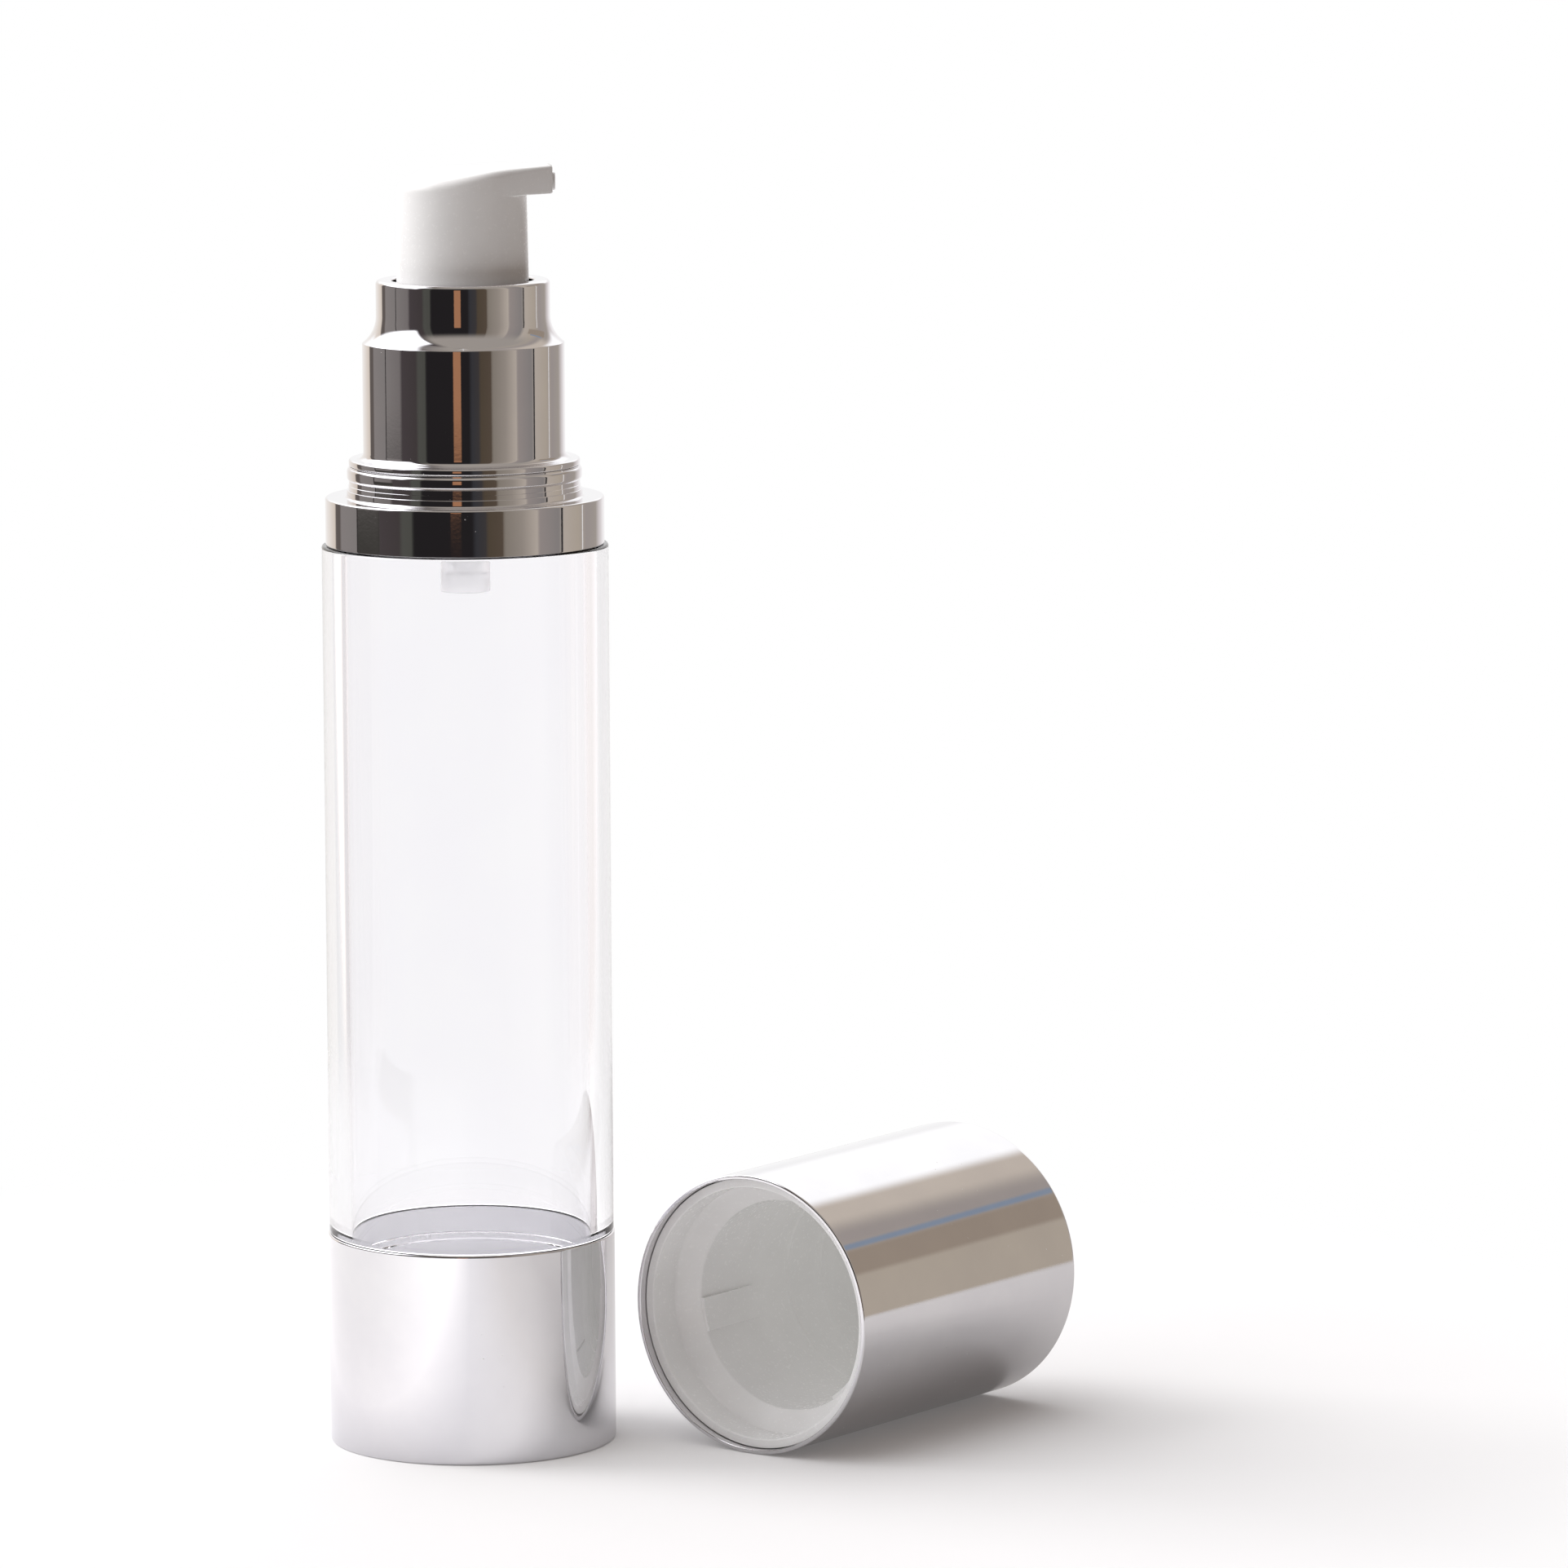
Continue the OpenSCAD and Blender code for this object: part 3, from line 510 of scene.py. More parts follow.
def coil_spring():
    """A compression spring with closed ends, up Z. Sizes in metres."""
    g = Growth("coil_spring", {
        "Low": "NodeSocketFloat", "High": "NodeSocketFloat", "Radius": "NodeSocketFloat",
        "Wire": "NodeSocketFloat", "Turns": "NodeSocketFloat", "Finish": "NodeSocketMaterial"})
    line = g.add("GeometryNodeCurvePrimitiveLine", None, {"Start": (0, 0, 0), "End": (0, 0, 1)})
    fine = g.add("GeometryNodeResampleCurve", None, {"Curve": line, "Count": 420})
    share = g.add("GeometryNodeSplineParameter")
    angle = g.math("MULTIPLY", g.math("MULTIPLY", share, g.ask("Turns")), math.tau)
    # The end turns lie close: the rise starts late and ends early
    rise = g.add("ShaderNodeMapRange", {"interpolation_type": "LINEAR"},
                 {"Value": share, "From Min": 0.11, "From Max": 0.89, "To Min": 0.09, "To Max": 0.91})
    closed = g.math("ADD", g.math("MULTIPLY", rise, 0.9), g.math("MULTIPLY", share, 0.1))
    half = g.math("MULTIPLY", g.ask("Wire"), 0.5)
    low = g.math("ADD", g.ask("Low"), half)
    span = g.math("SUBTRACT", g.math("SUBTRACT", g.ask("High"), half), low)
    point = g.add("ShaderNodeCombineXYZ", None, {
        0: g.math("MULTIPLY", g.ask("Radius"), g.math("COSINE", angle)),
        1: g.math("MULTIPLY", g.ask("Radius"), g.math("SINE", angle)),
        2: g.math("ADD", low, g.math("MULTIPLY", span, closed))})
    coil = g.add("GeometryNodeSetPosition", None, {"Geometry": fine, "Position": point})
    wire = g.add("GeometryNodeCurvePrimitiveCircle", None, {"Resolution": 14, "Radius": half})
    g.end(g.add("GeometryNodeCurveToMesh", None,
                {"Curve": coil, "Profile Curve": wire, "Fill Caps": True}))
    return g


# Bottle

base = turned("base_shell", "bottle", "silver_plating", [
    (3, 0.5, 0.12), (14.3, 0.5, 0.12), (14.3, 0, 0.15), (16.5, 0, 0.3), (16.5, 24.3, 0.22),
    (15.5, 24.3, 0.08), (15.5, 21.4), (15.8, 21.1), (15.8, 20.5), (15.5, 20.2), (15.5, 1.9, 0.4),
    (13, 1.9, 0.2), (13, 7.6, 0.1), (11.6, 7.6, 0.1), (11.6, 1.9, 0.2), (3, 1.9, 0.1)])
# Notches in the follower's stop ring let air past
cut(base, [brick((10.8, 14), (-1.5, 1.5), (6.1, 8.6), Matrix.Rotation(math.radians(a), 4, "Z"))
           for a in (0, 120, 240)])

turned("body_tube", "bottle", "clear_wall", [
    (14.2, 5.8), (15.45, 5.8, 0.15), (15.45, 20.3), (15.65, 20.5), (15.65, 21.1), (15.45, 21.3),
    (15.45, 24.3), (16.38, 24.3, 0.28), (16.38, 103.94, 0.28), (14.98, 103.94), (14.98, 104.94),
    (15.18, 105.14), (15.18, 105.74), (14.98, 105.94), (14.98, 107.24, 0.1), (13.8, 107.24, 0.1),
    (13.8, 6.2)], around=FINE)

turned("follower_piston", "follower", "white_matte", [
    (11.75, 7.6, 0.1), (13.35, 7.6), (13.75, 8, 0.1), (13.75, 9, 0.2), (12.85, 9.6, 0.2),
    (12.85, 15.2, 0.3), (13.75, 16.6, 0.3), (13.75, 18, 0.12), (13.25, 18, 0.12), (12.35, 15.8, 0.5),
    (3.6, 15.8, 0.4), (3.6, 12.2, 0.4), (0, 12.2), (0, 11.1), (4.7, 11.1, 0.5), (4.7, 14.7, 0.5),
    (11.75, 14.7, 0.5)])

turned("shoulder", "bottle", "silver_plating", [
    (15.03, 103.94, 0.05), (15.93, 103.94, 0.22), (15.93, 109.44, 0.25), (13.45, 109.44, 0.28),
    (13.45, 110.3, 0.22), (13.25, 110.3), (13.25, 110.79), (13.2, 110.84), (13.2, 111.36),
    *arc_points(12.86, 111.79, 0.55, -51.8, 0, 7), (13.41, 111.79), (13.41, 112.39),
    *arc_points(12.86, 112.39, 0.55, 0, 51.8, 7), (13.2, 112.82), (13.2, 113, 0.05), (12.2, 113, 0.05),
    (12.2, 109.44, 0.2), (9.5, 109.44, 0.1), (9.5, 108.24, 0.1), (15.03, 108.24, 0.2), (15.03, 106.04),
    (15.33, 105.74), (15.33, 105.14), (15.03, 104.84)])

turned("inner_plug", "bottle", "white_matte", [
    (5.75, 106.74, 0.15), (12.65, 106.74, 0.4), (12.65, 104.3, 0.15), (13.75, 104.3, 0.15), (13.75, 107.24),
    (14.98, 107.24, 0.1), (14.98, 108.24, 0.1), (9.2, 108.24, 0.2), (9.2, 111.908), (9.5, 112.208, 0.1),
    (9.5, 112.608, 0.1), (9.2, 112.908), (9.2, 116.392, 0.1), (7.8, 116.392, 0.1), (7.8, 108.24, 0.2),
    (5.75, 108.24, 0.1)])

turned("pump_collar", "bottle", "silver_plating", [
    (10.8, 113, 0.1), (13.2, 113, 0.2), (13.2, 113.8, 0.25), (11.53, 113.8, 0.75), (11.53, 127, 0.12),
    *arc_points(13.733, 130.1, 3.803, 234.6, 180, 14), (9.93, 130.1), (9.93, 134.2, 0.5),
    (8.1, 134.2, 0.25), (8.1, 128.3, 0.3), (10.8, 125.6, 0.3)], around=FINE)

turned("pump_closure", "bottle", "white_matte", [
    (9.25, 109.59, 0.08), (10.75, 109.59, 0.1), (10.75, 119.992, 0.2), (6.3, 119.992, 0.15),
    (6.3, 118.992, 0.1), (9.65, 118.992, 0.2), (9.65, 111.808, 0.05), (9.25, 111.508, 0.05)])

turned("pump_housing", "bottle", "natural_plastic", [
    (2.2, 98.6, 0.1), (2.85, 98.6, 0.12), (2.85, 104.892, 0.2), (5.6, 104.892, 0.4), (5.6, 116.992, 0.2),
    (9.5, 116.992, 0.08), (9.5, 117.992, 0.08), (4.6, 117.992, 0.08), (4.6, 105.892, 0.2), (1.95, 105.892),
    (1.95, 102.35, 0.1), (1.1, 101.5), (1.1, 101), (2.2, 100.6)])

turned("housing_gasket", "bottle", "seal_foam", [
    (7.8, 116.392, 0.06), (9.2, 116.392, 0.06), (9.2, 116.992, 0.06), (7.8, 116.992, 0.06)])

turned("inlet_ball", "check_ball", "ball_glass",
       [(0, 101.133), *arc_points(0, 102.733, 1.6, -90, 90, 24), (0, 104.333)], around=64)

turned("stem_guide", "bottle", "white_matte", [
    (2.65, 116.542, 0.08), (4.55, 116.542, 0.15), (4.55, 117.992, 0.05), (9.5, 117.992, 0.08),
    (9.5, 118.992, 0.1), (2.65, 118.992, 0.08)])

coil_spring().grow("return_spring", "bottle", "spring_wire", {
    "Low": 119.05 * MM, "High": 130.93 * MM, "Radius": 3.55 * MM, "Wire": 0.7 * MM,
    "Turns": 7.0}, "return_spring_look")

turned("stem", "plunger", "natural_solid", [
    (1.5, 113.742, 0.05), (2.6, 113.742, 0.08), (2.6, 130.992, 0.1), (4.4, 130.992, 0.12),
    (4.4, 131.992, 0.12), (2.6, 131.992, 0.1), (2.6, 141.9, 0.25), (1.5, 141.9, 0.1)], around=SMALL)

turned("piston_rod", "plunger", "natural_solid", [
    (0, 110.792), (3.3, 110.792, 0.12), (3.3, 111.492, 0.12), (1, 111.492, 0.1), (1, 117.942, 0.2),
    (0, 117.942)], around=SMALL)

turned("pump_piston", "pump_seal", "white_matte", [
    (1.9, 111.542, 0.05), (4.25, 111.542, 0.05), (4.55, 111.842, 0.05), (4.55, 112.342, 0.1),
    (4.1, 112.792, 0.15), (4.1, 114.392, 0.15), (4.55, 114.842, 0.1), (4.55, 115.642, 0.06),
    (2.65, 115.642, 0.06), (2.65, 112.892, 0.05), (1.9, 112.892, 0.05)], around=SMALL)

ribs = ring_of_blocks()
ribs.grow("pump_housing", "bottle", "natural_plastic", {
    "Count": 3, "Inner": 1.2 * MM, "Outer": 2.2 * MM, "Width": 0.6 * MM, "Low": 104.892 * MM,
    "High": 105.892 * MM, "First": math.radians(30)}, "ball_ribs_look")
ribs.grow("piston_rod", "plunger", "natural_solid", {
    "Count": 3, "Inner": 0.8 * MM, "Outer": 1.48 * MM, "Width": 0.6 * MM, "Low": 114.042 * MM,
    "High": 117.942 * MM, "First": 0.0}, "rod_ribs_look")


# Pump head

HEAD_R = 7.36
SPOUT_Z = 143.95
TIP_X = 10.3
TIP_HALF = 1.2
TIP_R = 0.4
NOZZLE_Z = 145.27
# Steps of the plan over the tip's face, its corner, the spout's side and the round back, each for one half
FACE_STEPS = 3
CORNER_STEPS = 7
SIDE_STEPS = 14
BACK_STEPS = 60
# Steps up the spout's lower edge, the crown's rounding and its dome
UNDER_STEPS = 3
ROUNDING_STEPS = 10
DOME_STEPS = 14
# The dome's ridge runs along the spout between these two places
RIDGE_FROM = -2.2
RIDGE_TO = TIP_X - 0.9
# Height of the crown's edge in front, and of its ridge, along the spout, and the edge's rounding
EDGE = [(-7.36, 145.35), (-5.64, 145.36), (-3.17, 145.6), (-1.06, 145.82), (1.59, 146.22), (4.23, 146.62),
        (6.89, 146.84), (10.3, 147.03)]
RIDGE = [(-7.36, 145.9), (-6.3, 146.32), (-4, 146.72), (-1.75, 146.93), (0.72, 147.04), (4.26, 147.17),
         (7.8, 147.28), (10.3, 147.35)]
EDGE_R = [(-7.36, 1.5), (-3, 1.35), (1.5, 1.15), (5, 0.85), (8, 0.55), (10.3, 0.38)]
# Height and radius down the skirt, up its bore, round the stem's socket and up into the duct
SKIRT = [(143.5, 7.366), (139, 7.44), (134, 7.53), (129.8, 7.602), (129.55, 7.6), (129.42, 7.52),
         (129.4, 7.42), (129.4, 6.56), (129.43, 6.44), (129.6, 6.36), (136, 6.36), (142.6, 6.36),
         (143.0, 6.2), (143.2, 5.8), (143.2, 4.5), (143.1, 4.25), (142.8, 4.15), (137, 4.15),
         (132.5, 4.15), (132.32, 4.1), (132.292, 4), (132.292, 3), (132.35, 2.75), (132.6, 2.65),
         (137, 2.65), (142.2, 2.65), (142.2, 1.1), (NOZZLE_Z, 1.1)]


def between(table, x):
    """A height from a table of places, eased so that it has no kinks."""
    for (x0, z0), (x1, z1) in zip(table, table[1:]):
        if x <= x1:
            break
    i = table.index((x0, z0))
    before = table[max(i - 1, 0)]
    after = table[min(i + 2, len(table) - 1)]
    slope0 = (z1 - before[1]) / (x1 - before[0])
    slope1 = (after[1] - z0) / (after[0] - x0)
    width = x1 - x0
    t = max(0, min(1, (x - x0) / width))
    return ((2 * t**3 - 3 * t**2 + 1) * z0 + (t**3 - 2 * t**2 + t) * width * slope0
            + (3 * t**2 - 2 * t**3) * z1 + (t**3 - t**2) * width * slope1)


def head_outline():
    """The crown's plan: points with their outward direction, once round, from the tip's end face."""
    corner = Vector((TIP_X - TIP_R, TIP_HALF))
    lean = math.atan2(corner.y, corner.x)
    open_angle = lean + math.acos((HEAD_R - TIP_R) / corner.length)
    half = []
    for k in range(FACE_STEPS):
        half.append((Vector((TIP_X, TIP_HALF * k / FACE_STEPS)), 0.0))
    for k in range(CORNER_STEPS + 1):
        a = open_angle * k / CORNER_STEPS
        half.append((corner + Vector((math.cos(a), math.sin(a))) * TIP_R, a))
    aim = Vector((math.cos(open_angle), math.sin(open_angle)))
    start, end = corner + aim * TIP_R, aim * HEAD_R
    for k in range(1, SIDE_STEPS):
        half.append((start.lerp(end, k / SIDE_STEPS), open_angle))
    for k in range(BACK_STEPS + 1):
        a = open_angle + (math.pi - open_angle) * k / BACK_STEPS
        half.append((Vector((math.cos(a), math.sin(a))) * HEAD_R, a))
    other = [(Vector((p.x, -p.y)), -a) for p, a in reversed(half[1:-1])]
    return half + other


def pump_head():
    """The press head: rings of the plan's points, from inside its bores out over skirt and crown."""
    mesh = bmesh.new()
    outline = head_outline()
    rings = []

    def ring(point):
        made = []
        for place, aim in outline:
            x, y, z = point(place, Vector((math.cos(aim), math.sin(aim))))
            made.append(mesh.verts.new((x * MM, y * MM, z * MM)))
        rings.append(made)

    def inner(radius, z):
        ring(lambda p, n: (*(p.normalized() * radius), z))

    def under_edge(k):
        def point(p, n):
            soft = min(0.22, max(0, p.length - HEAD_R) * 0.3)
            turn = math.pi / 2 * k / UNDER_STEPS
            q = p - n * soft * (1 - math.sin(turn))
            return q.x, q.y, SPOUT_Z + soft * (1 - math.cos(turn))
        return point

    def crown(p, n):
        """The rounding's radius, where it starts, how far it turns and where it ends, and the ridge over it.
        The dome's slope decides the turn, and the turn the slope, so a few rounds settle both."""
        r = between(EDGE_R, p.x)
        low = between(EDGE, p.x) - 0.707 * r
        share = (p.x + HEAD_R) / (TIP_X + HEAD_R)
        spine = Vector((RIDGE_FROM + (RIDGE_TO - RIDGE_FROM) * share, 0))
        top = between(RIDGE, spine.x)
        steep = 0.2
        for _ in range(6):
            turn = math.pi / 2 - math.atan(steep)
            inset = p - n * r * (1 - math.cos(turn))
            high = low + r * math.sin(turn)
            steep = max(0.02, 2 * (top - high) / max((spine - inset).length, 0.3))
        return r, low, turn, inset, high, spine, top

    def rounding(k):
        def point(p, n):
            r, low, turn, *_ = crown(p, n)
            q = p - n * r * (1 - math.cos(turn * k / ROUNDING_STEPS))
            return q.x, q.y, low + r * math.sin(turn * k / ROUNDING_STEPS)
        return point

    def dome(k):
        def point(p, n):
            *_, inset, high, spine, top = crown(p, n)
            w = k / DOME_STEPS
            q = inset.lerp(spine, w)
            return q.x, q.y, high + (top - high) * (1 - (1 - w)**2)
        return point

    for z, radius in SKIRT:
        inner(radius, z)
    first, last = rings[0], rings[-1]
    for one, two in zip(rings, rings[1:]):
        skin(mesh, one, two)
    mesh.faces.new(last)
    rings.clear()
    rings.append(first)
    inner(HEAD_R, SPOUT_Z)
    for k in range(UNDER_STEPS + 1):
        ring(under_edge(k))
    for k in range(ROUNDING_STEPS + 1):
        ring(rounding(k))
    for k in range(1, DOME_STEPS + 1):
        ring(dome(k))
    for one, two in zip(rings, rings[1:]):
        skin(mesh, one, two)
    bmesh.ops.remove_doubles(mesh, verts=mesh.verts, dist=2e-6)
    bmesh.ops.dissolve_degenerate(mesh, edges=mesh.edges, dist=SAME)
    return finished("actuator_look", mesh, "actuator", "head", "white_gloss")


head = pump_head()
spout_place = Matrix.Translation((0, 0, NOZZLE_Z * MM)) @ Matrix.Rotation(math.pi / 2, 4, "Y")
duct = bmesh.new()
spin_rings(duct, [(0, 0), (0.7, 0), (0.7, 8), (1.05, 8), (1.05, 12), (0, 12)], 40)
duct.transform(spout_place)
cut(head, [duct])

turned("nozzle_insert", "head", "white_gloss",
       [(0.4, 8.1), (1, 8.1, 0.05), (1, 10.6, 0.16), (0.4, 10.6, 0.08)], spout_place, around=48)


# Overcap

CAP_R = 16.19
cap_place = (Matrix.Translation(Vector((31.69, -11.75, CAP_R)) * MM)
             @ Matrix.Rotation(math.radians(51.63), 4, "Z") @ Matrix.Rotation(math.pi / 2, 4, "Y"))

turned("overcap_shell", "cap", "silver_plating", [
    (15.69, 0, 0.08), (CAP_R, 0, 0.16), (CAP_R, 42.4, 0.6), (0, 42.4), (0, 41.5), (15.69, 41.5, 0.3)],
    cap_place, around=FINE)

turned("overcap_liner", "cap", "white_gloss", [
    (14.6, 1, 0.15), (15.64, 1, 0.1), (15.64, 5.2, 0.3), (13.2, 7.64, 0.3), (13.2, 41.5, 0.3), (0, 41.5),
    (0, 40.5), (11.9, 40.5, 0.5), (11.9, 30.3, 0.08), (12.05, 30.1, 0.08), (12.05, 23.9, 0.08),
    (12.2, 23.7, 0.08), (12.2, 7, 0.35), (14.6, 5.2, 0.35)], cap_place)

ribs.grow("overcap_liner", "cap", "white_gloss", {
    "Count": 6, "Inner": 12.9 * MM, "Outer": 15.54 * MM, "Width": 1 * MM, "Low": 7.34 * MM,
    "High": 40.2 * MM, "First": 0.0}, "liner_ribs_look", cap_place)
ribs.grow("overcap_liner", "cap", "white_gloss", {
    "Count": 3, "Inner": 11.83 * MM, "Outer": 12.7 * MM, "Width": 4 * MM, "Low": 7.1 * MM,
    "High": 16.6 * MM, "First": math.radians(78)}, "grip_pads_look", cap_place)


# Floor, room and lamp

# Metres from the bottle: where the table turns plain white for the camera, and where it ends for mirrors
WHITE_FROM = (0.11, 0.17)
ENDS_FROM = (0.2, 0.3)
# How wide the table's painted fall-off of light is from left to right, in metres, and its tones as mirrors
# show them
DIM_SPAN = 0.2
DIM_TONES = [(0.0, (1, 1, 1)), (0.3, (1, 0.99, 1)), (0.48, (0.68, 0.675, 0.69)), (0.75, (0.52, 0.505, 0.5)),
             (1.0, (0.42, 0.405, 0.4))]
# The room's walls as mirrors show them: degrees round from the camera's side, to the right, and colour
WALLS = [
    (-180, (1, 1, 1)), (-152, (0.9, 0.84, 0.78)), (-136, (0.76, 0.67, 0.58)), (-134, (0.14, 0.12, 0.11)),
    (-126, (0.13, 0.11, 0.1)), (-124, (0.27, 0.245, 0.235)), (-103, (0.25, 0.23, 0.22)),
    (-78, (0.2, 0.18, 0.175)), (-75, (0.07, 0.058, 0.06)), (-56, (0.06, 0.05, 0.05)),
    (-53, (0.085, 0.085, 0.075)), (-45, (0.08, 0.08, 0.07)), (-43, (0.018, 0.016, 0.017)),
    (6, (0.018, 0.016, 0.017)), (9, (0.04, 0.04, 0.045)), (17, (0.05, 0.045, 0.045)),
    (19, (0.085, 0.065, 0.045)), (31, (0.1, 0.075, 0.055)), (33, (0.25, 0.22, 0.185)),
    (48, (0.33, 0.29, 0.25)), (62, (0.5, 0.44, 0.38)), (64, (0.33, 0.29, 0.27)), (84, (0.26, 0.24, 0.23)),
    (90, (0.5, 0.44, 0.38)), (108, (0.46, 0.4, 0.33)), (120, (0.37, 0.33, 0.31)), (138, (0.4, 0.36, 0.32)),
    (146, (0.66, 0.61, 0.6)), (160, (0.95, 0.92, 0.92)), (180, (1, 1, 1))]
# Cards and stands before the walls: degrees round from and to, above from and to, colour, soft edge
CARDS = [
    (-11.7, -3.1, -6.1, 12, (0.4, 0.19, 0.1), 0.4),
    (-101, -99.6, -20, 20, (0.03, 0.026, 0.026), 0.4),
    (-100, -75, -14, -6.1, (0.05, 0.047, 0.042), 0.5),
    (86.5, 88.5, -20, 14, (0.03, 0.028, 0.03), 0.4),
    (113.3, 114.7, -20, 12, (0.85, 0.83, 0.82), 0.4),
    (98, 132, 16, 27, (0.34, 0.28, 0.225), 1.5),
    (104, 128, 27.2, 29.2, (0.25, 0.3, 0.38), 0.7),
    (128, 150, 31, 90, (0.6, 0.53, 0.46), 6),
    (147, 181, 12, 91, (1.2, 1.2, 1.2), 5),
    (-181, -150, 12, 91, (1.2, 1.2, 1.2), 5),
    (-60, 110, 40, 91, (0.38, 0.345, 0.31), 12),
    (-181, 181, 74, 91, (0.38, 0.345, 0.31), 9),
    (-150, -66, 20, 62, (2.2, 2.2, 2.25), 4)]
# Where the large soft light stands for matt surfaces: right, back and up
KEY_AIM = (-0.66, 0.27, 0.7)
# What lights the pieces inside the bottle: degrees above from dim to bright
INSIDE_FROM = (4.0, 14.0)
# The photograph's camera, found from its rims and edges: place in metres, turns, and lens in mm
CAMERA_AT = (0, -1.01778, 0.22095)
PAN = math.radians(2.043)
TILT = math.radians(8.109)
ROLL = -0.0045
LENS = 205.77


def floor():
    """A white table. Away from the object it is plain white for the camera, and ends for mirrors."""
    material = bpy.data.materials.new("table")
    f = Sheet(material)
    place = f.add("ShaderNodeTexCoord", None, None, 3)
    away = f.add("ShaderNodeVectorMath", {"operation": "LENGTH"}, {0: place}, 1)
    path = f.add("ShaderNodeLightPath").socket.node
    through = Wire(f, path.outputs["Is Transmission Ray"])
    mirrored = Wire(f, path.outputs["Is Glossy Ray"]) * (1 - through)
    speckle = f.noise(place, 40.0, 3.0)
    plain = f.tint(speckle, (0.86, 0.855, 0.86), (0.88, 0.875, 0.88))
    # Mirrors show how it falls off to the right, away from the light
    spot = f.add("ShaderNodeSeparateXYZ", None, {0: place}).socket.node
    x, y = (Wire(f, spot.outputs[i]) for i in range(2))
    dimmer = f.add("ShaderNodeValToRGB", {"stops": DIM_TONES}, {0: x * (1 / DIM_SPAN) + 0.5})
    lit = f.add("ShaderNodeBsdfDiffuse", None, {
        "Color": f.tint(mirrored, plain, dimmer), "Roughness": 0.6})
    glow = f.add("ShaderNodeEmission", None, {"Color": (1, 0.98, 0.97, 1), "Strength": 0.08})
    table = f.add("ShaderNodeAddShader", None, {0: lit, 1: glow})
    gone = f.add("ShaderNodeBsdfTransparent")
    # Through the clear wall it also ends to the left and right of what is straight behind the bottle
    sideways = f.spread(x * x - y * y * 0.33, 0.0, 0.05, 0.0, 1.0)
    beside = sideways * f.spread(y, 0.0, 0.05, 0.0, 1.0) * through
    matt = Wire(f, path.outputs["Is Diffuse Ray"])
    ends = f.add("ShaderNodeMath", {"operation": "MAXIMUM"}, {0: mirrored + matt, 1: beside})
    edge = f.spread(away, *ENDS_FROM, 0.0, 1.0) * ends
    near = f.add("ShaderNodeMixShader", None, {0: edge, 1: table, 2: gone})
    white = f.add("ShaderNodeEmission", None, {"Color": (1, 1, 1, 1), "Strength": 1.0})
    seen = Wire(f, path.outputs["Is Camera Ray"]) + through * (1 - beside)
    blank = f.spread(away, *WHITE_FROM, 0.0, 1.0) * seen
    f.add("ShaderNodeOutputMaterial", None, {
        "Surface": f.add("ShaderNodeMixShader", None, {0: blank, 1: near, 2: white})})
    mesh = bmesh.new()
    bmesh.ops.create_grid(mesh, x_segments=8, y_segments=8, size=6)
    data = bpy.data.meshes.new("table")
    mesh.to_mesh(data)
    mesh.free()
    data.materials.append(material)
    plane = bpy.data.objects.new("table", data)
    bpy.context.scene.collection.objects.link(plane)


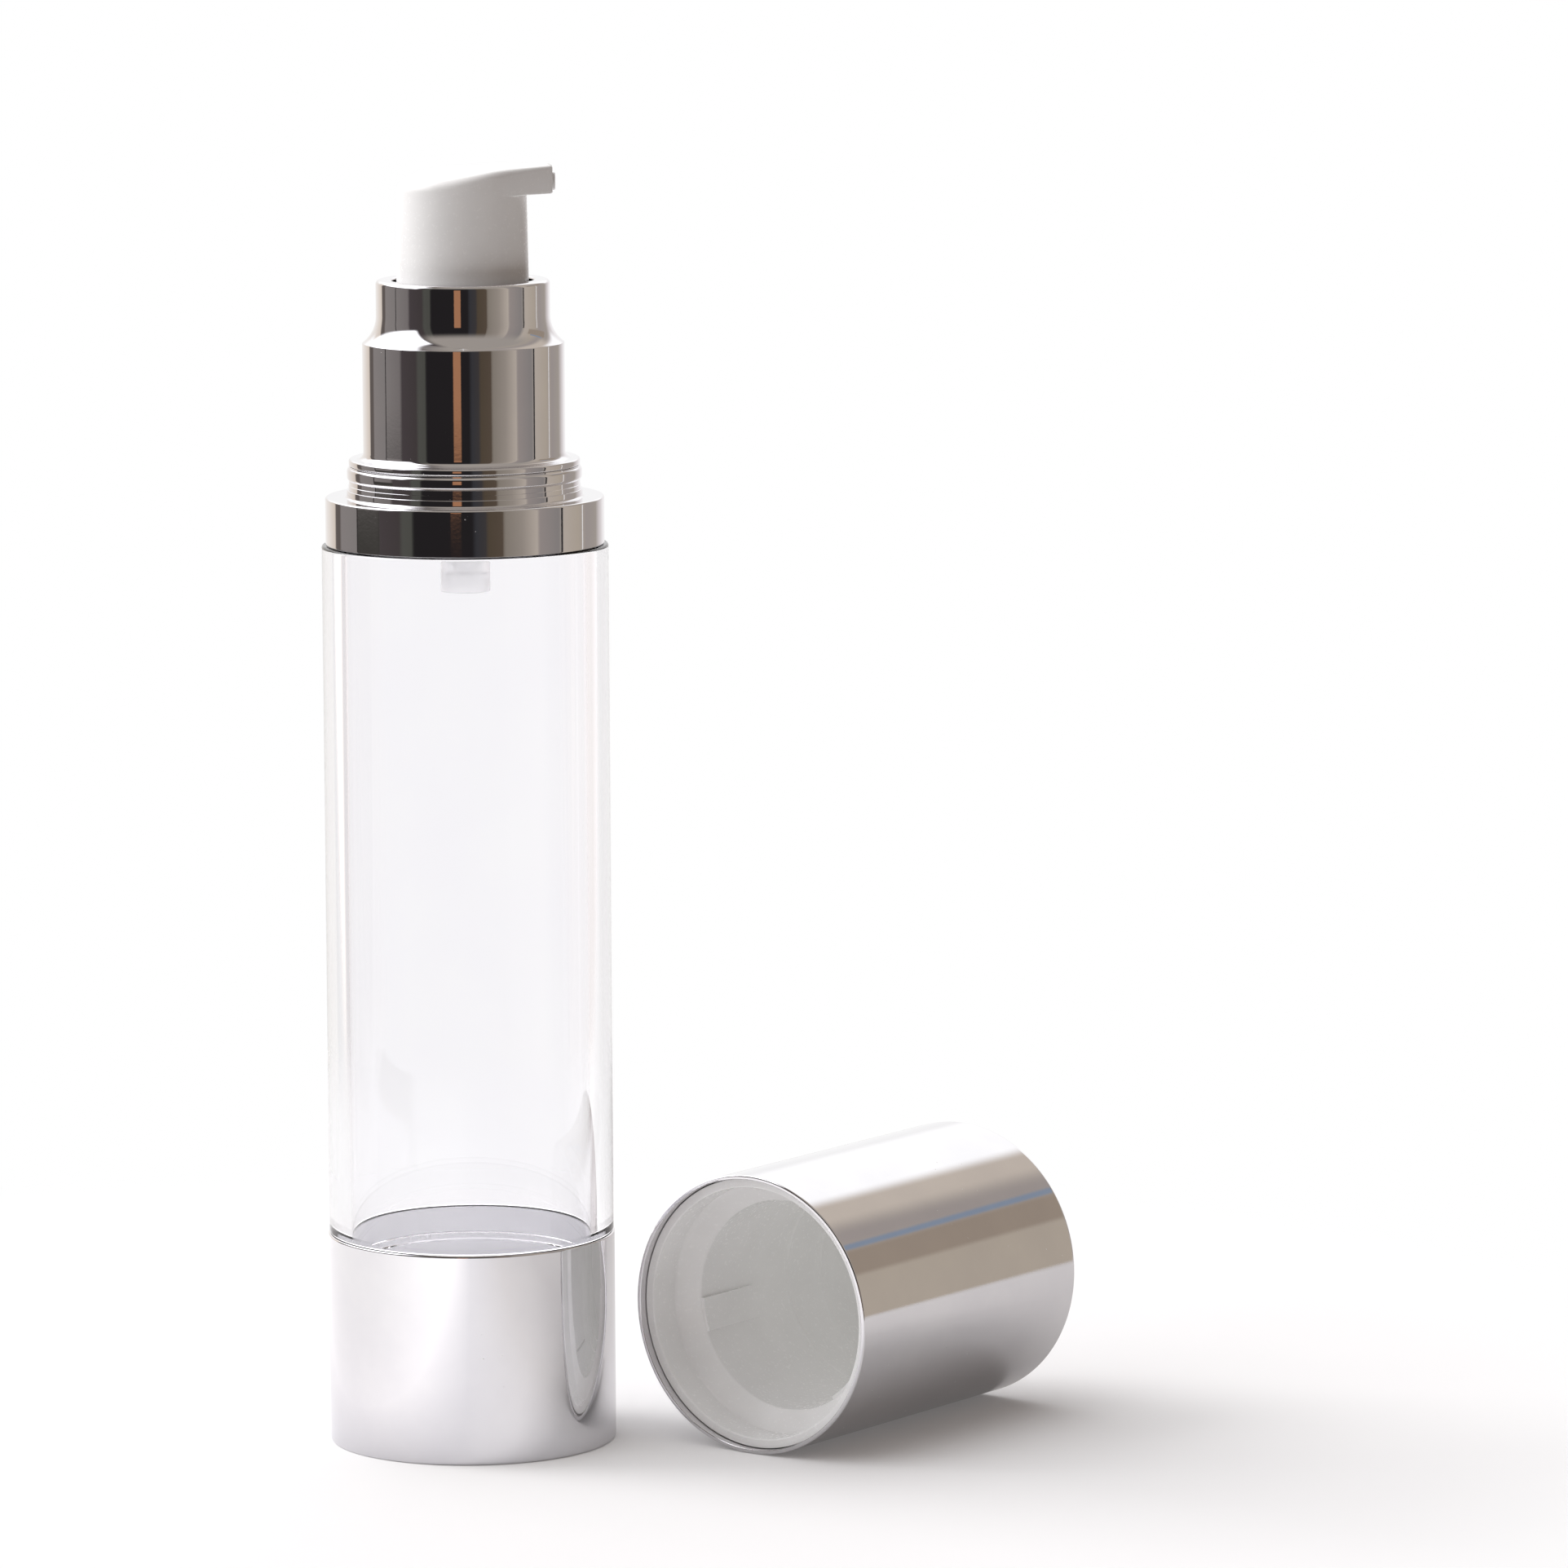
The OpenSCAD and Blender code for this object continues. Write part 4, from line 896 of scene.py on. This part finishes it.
def room():
    """White behind for the camera; for mirrors, a plain studio: pale walls, dark stands, a tall window."""
    world = bpy.data.worlds.new("studio")
    bpy.context.scene.world = world
    w = Sheet(world)
    aim = w.add("ShaderNodeSeparateXYZ", None, {0: w.add("ShaderNodeTexCoord")}).socket.node
    dx, dy, dz = (Wire(w, aim.outputs[i]) for i in range(3))
    # Degrees round from the camera's side, to the right, and degrees above the horizon
    around = w.add("ShaderNodeMath", {"operation": "ARCTAN2"}, {0: dx, 1: 0 - dy}) * math.degrees(1)
    above = w.add("ShaderNodeMath", {"operation": "ARCSINE"}, {0: dz}) * math.degrees(1)
    stops = [((degrees + 180) / 360, colour) for degrees, colour in WALLS]
    seen = w.add("ShaderNodeValToRGB", {"stops": stops}, {0: (around + 180) * (1 / 360)})
    for left, right, low, high, colour, soft in CARDS:
        mask = (w.spread(around, left - soft, left + soft, 0.0, 1.0)
                * w.spread(around, right - soft, right + soft, 1.0, 0.0)
                * w.spread(above, low - soft, low + soft, 0.0, 1.0)
                * w.spread(above, high - soft, high + soft, 1.0, 0.0))
        seen = w.tint(mask, seen, colour)
    room_light = w.add("ShaderNodeBackground", None, {"Color": seen, "Strength": 1.0})
    # What matt surfaces get: a large soft light above on the left, a little behind, and a dim warm room
    key = w.spread(dx * KEY_AIM[0] + dy * KEY_AIM[1] + dz * KEY_AIM[2], 0.12, 1.0, 0.0, 1.0)
    fill = w.add("ShaderNodeBackground", None, {
        "Color": w.tint(key, (0.15, 0.118, 0.098), (1.98, 1.99, 2.02)), "Strength": 1.0})
    backdrop = w.add("ShaderNodeBackground", None, {"Color": (1, 1, 1, 1), "Strength": 1.0})
    path = w.add("ShaderNodeLightPath").socket.node
    # Through the clear wall the white table and the light above it shine on what is inside
    through = Wire(w, path.outputs["Is Transmission Ray"])
    bright = w.spread(above, *INSIDE_FROM, 0.3, 1.0) * through
    inside = w.add("ShaderNodeBackground", None, {"Color": (1, 0.985, 1, 1), "Strength": 2.4})
    room_seen = w.add("ShaderNodeMixShader", None, {0: bright, 1: room_light, 2: inside})
    shiny = Wire(w, path.outputs["Is Glossy Ray"]) + through
    shiny = w.add("ShaderNodeMath", {"operation": "MINIMUM"}, {0: shiny, 1: 1.0})
    light = w.add("ShaderNodeMixShader", None, {0: shiny, 1: fill, 2: room_seen})
    w.add("ShaderNodeOutputWorld", None, {"Surface": w.add("ShaderNodeMixShader", None, {
        0: Wire(w, path.outputs["Is Camera Ray"]), 1: light, 2: backdrop})})


def lamp(name, around, above, away, size, watts, colour):
    """A soft lamp that looks at the object, from degrees round as in WALLS and degrees above."""
    a, e = math.radians(around), math.radians(above)
    back = Vector((math.sin(a) * math.cos(e), -math.cos(a) * math.cos(e), math.sin(e)))
    data = bpy.data.lights.new(name, "AREA")
    data.shape = "DISK"
    data.size = size
    data.energy = watts
    data.color = colour
    thing = bpy.data.objects.new(name, data)
    bpy.context.scene.collection.objects.link(thing)
    thing.location = Vector((0.01, 0, 0.05)) + back * away
    thing.rotation_euler = (-back).to_track_quat("-Z", "Y").to_euler()
    thing.visible_glossy = False
    thing.visible_transmission = False
    thing.visible_camera = False


def camera():
    """The photograph's viewpoint: a long lens, a little above the bottle."""
    look = Vector((math.sin(PAN) * math.cos(TILT), math.cos(PAN) * math.cos(TILT), -math.sin(TILT)))
    right = Vector((math.cos(PAN), -math.sin(PAN), 0))
    up = right.cross(look)
    side = right * math.cos(ROLL) + up * math.sin(ROLL)
    top = up * math.cos(ROLL) - right * math.sin(ROLL)
    data = bpy.data.cameras.new("camera")
    data.sensor_width = 36
    data.lens = LENS
    data.clip_start = 0.05
    data.clip_end = 50
    thing = bpy.data.objects.new("camera", data)
    bpy.context.scene.collection.objects.link(thing)
    thing.matrix_world = (Matrix.Translation(CAMERA_AT)
                          @ Matrix((side, top, -look)).transposed().to_4x4())
    bpy.context.scene.camera = thing


floor()
room()
lamp("window", -108, 40, 1.7, 0.9, 14, (1, 0.985, 0.98))
camera()
bpy.context.scene.view_settings.view_transform = "Standard"
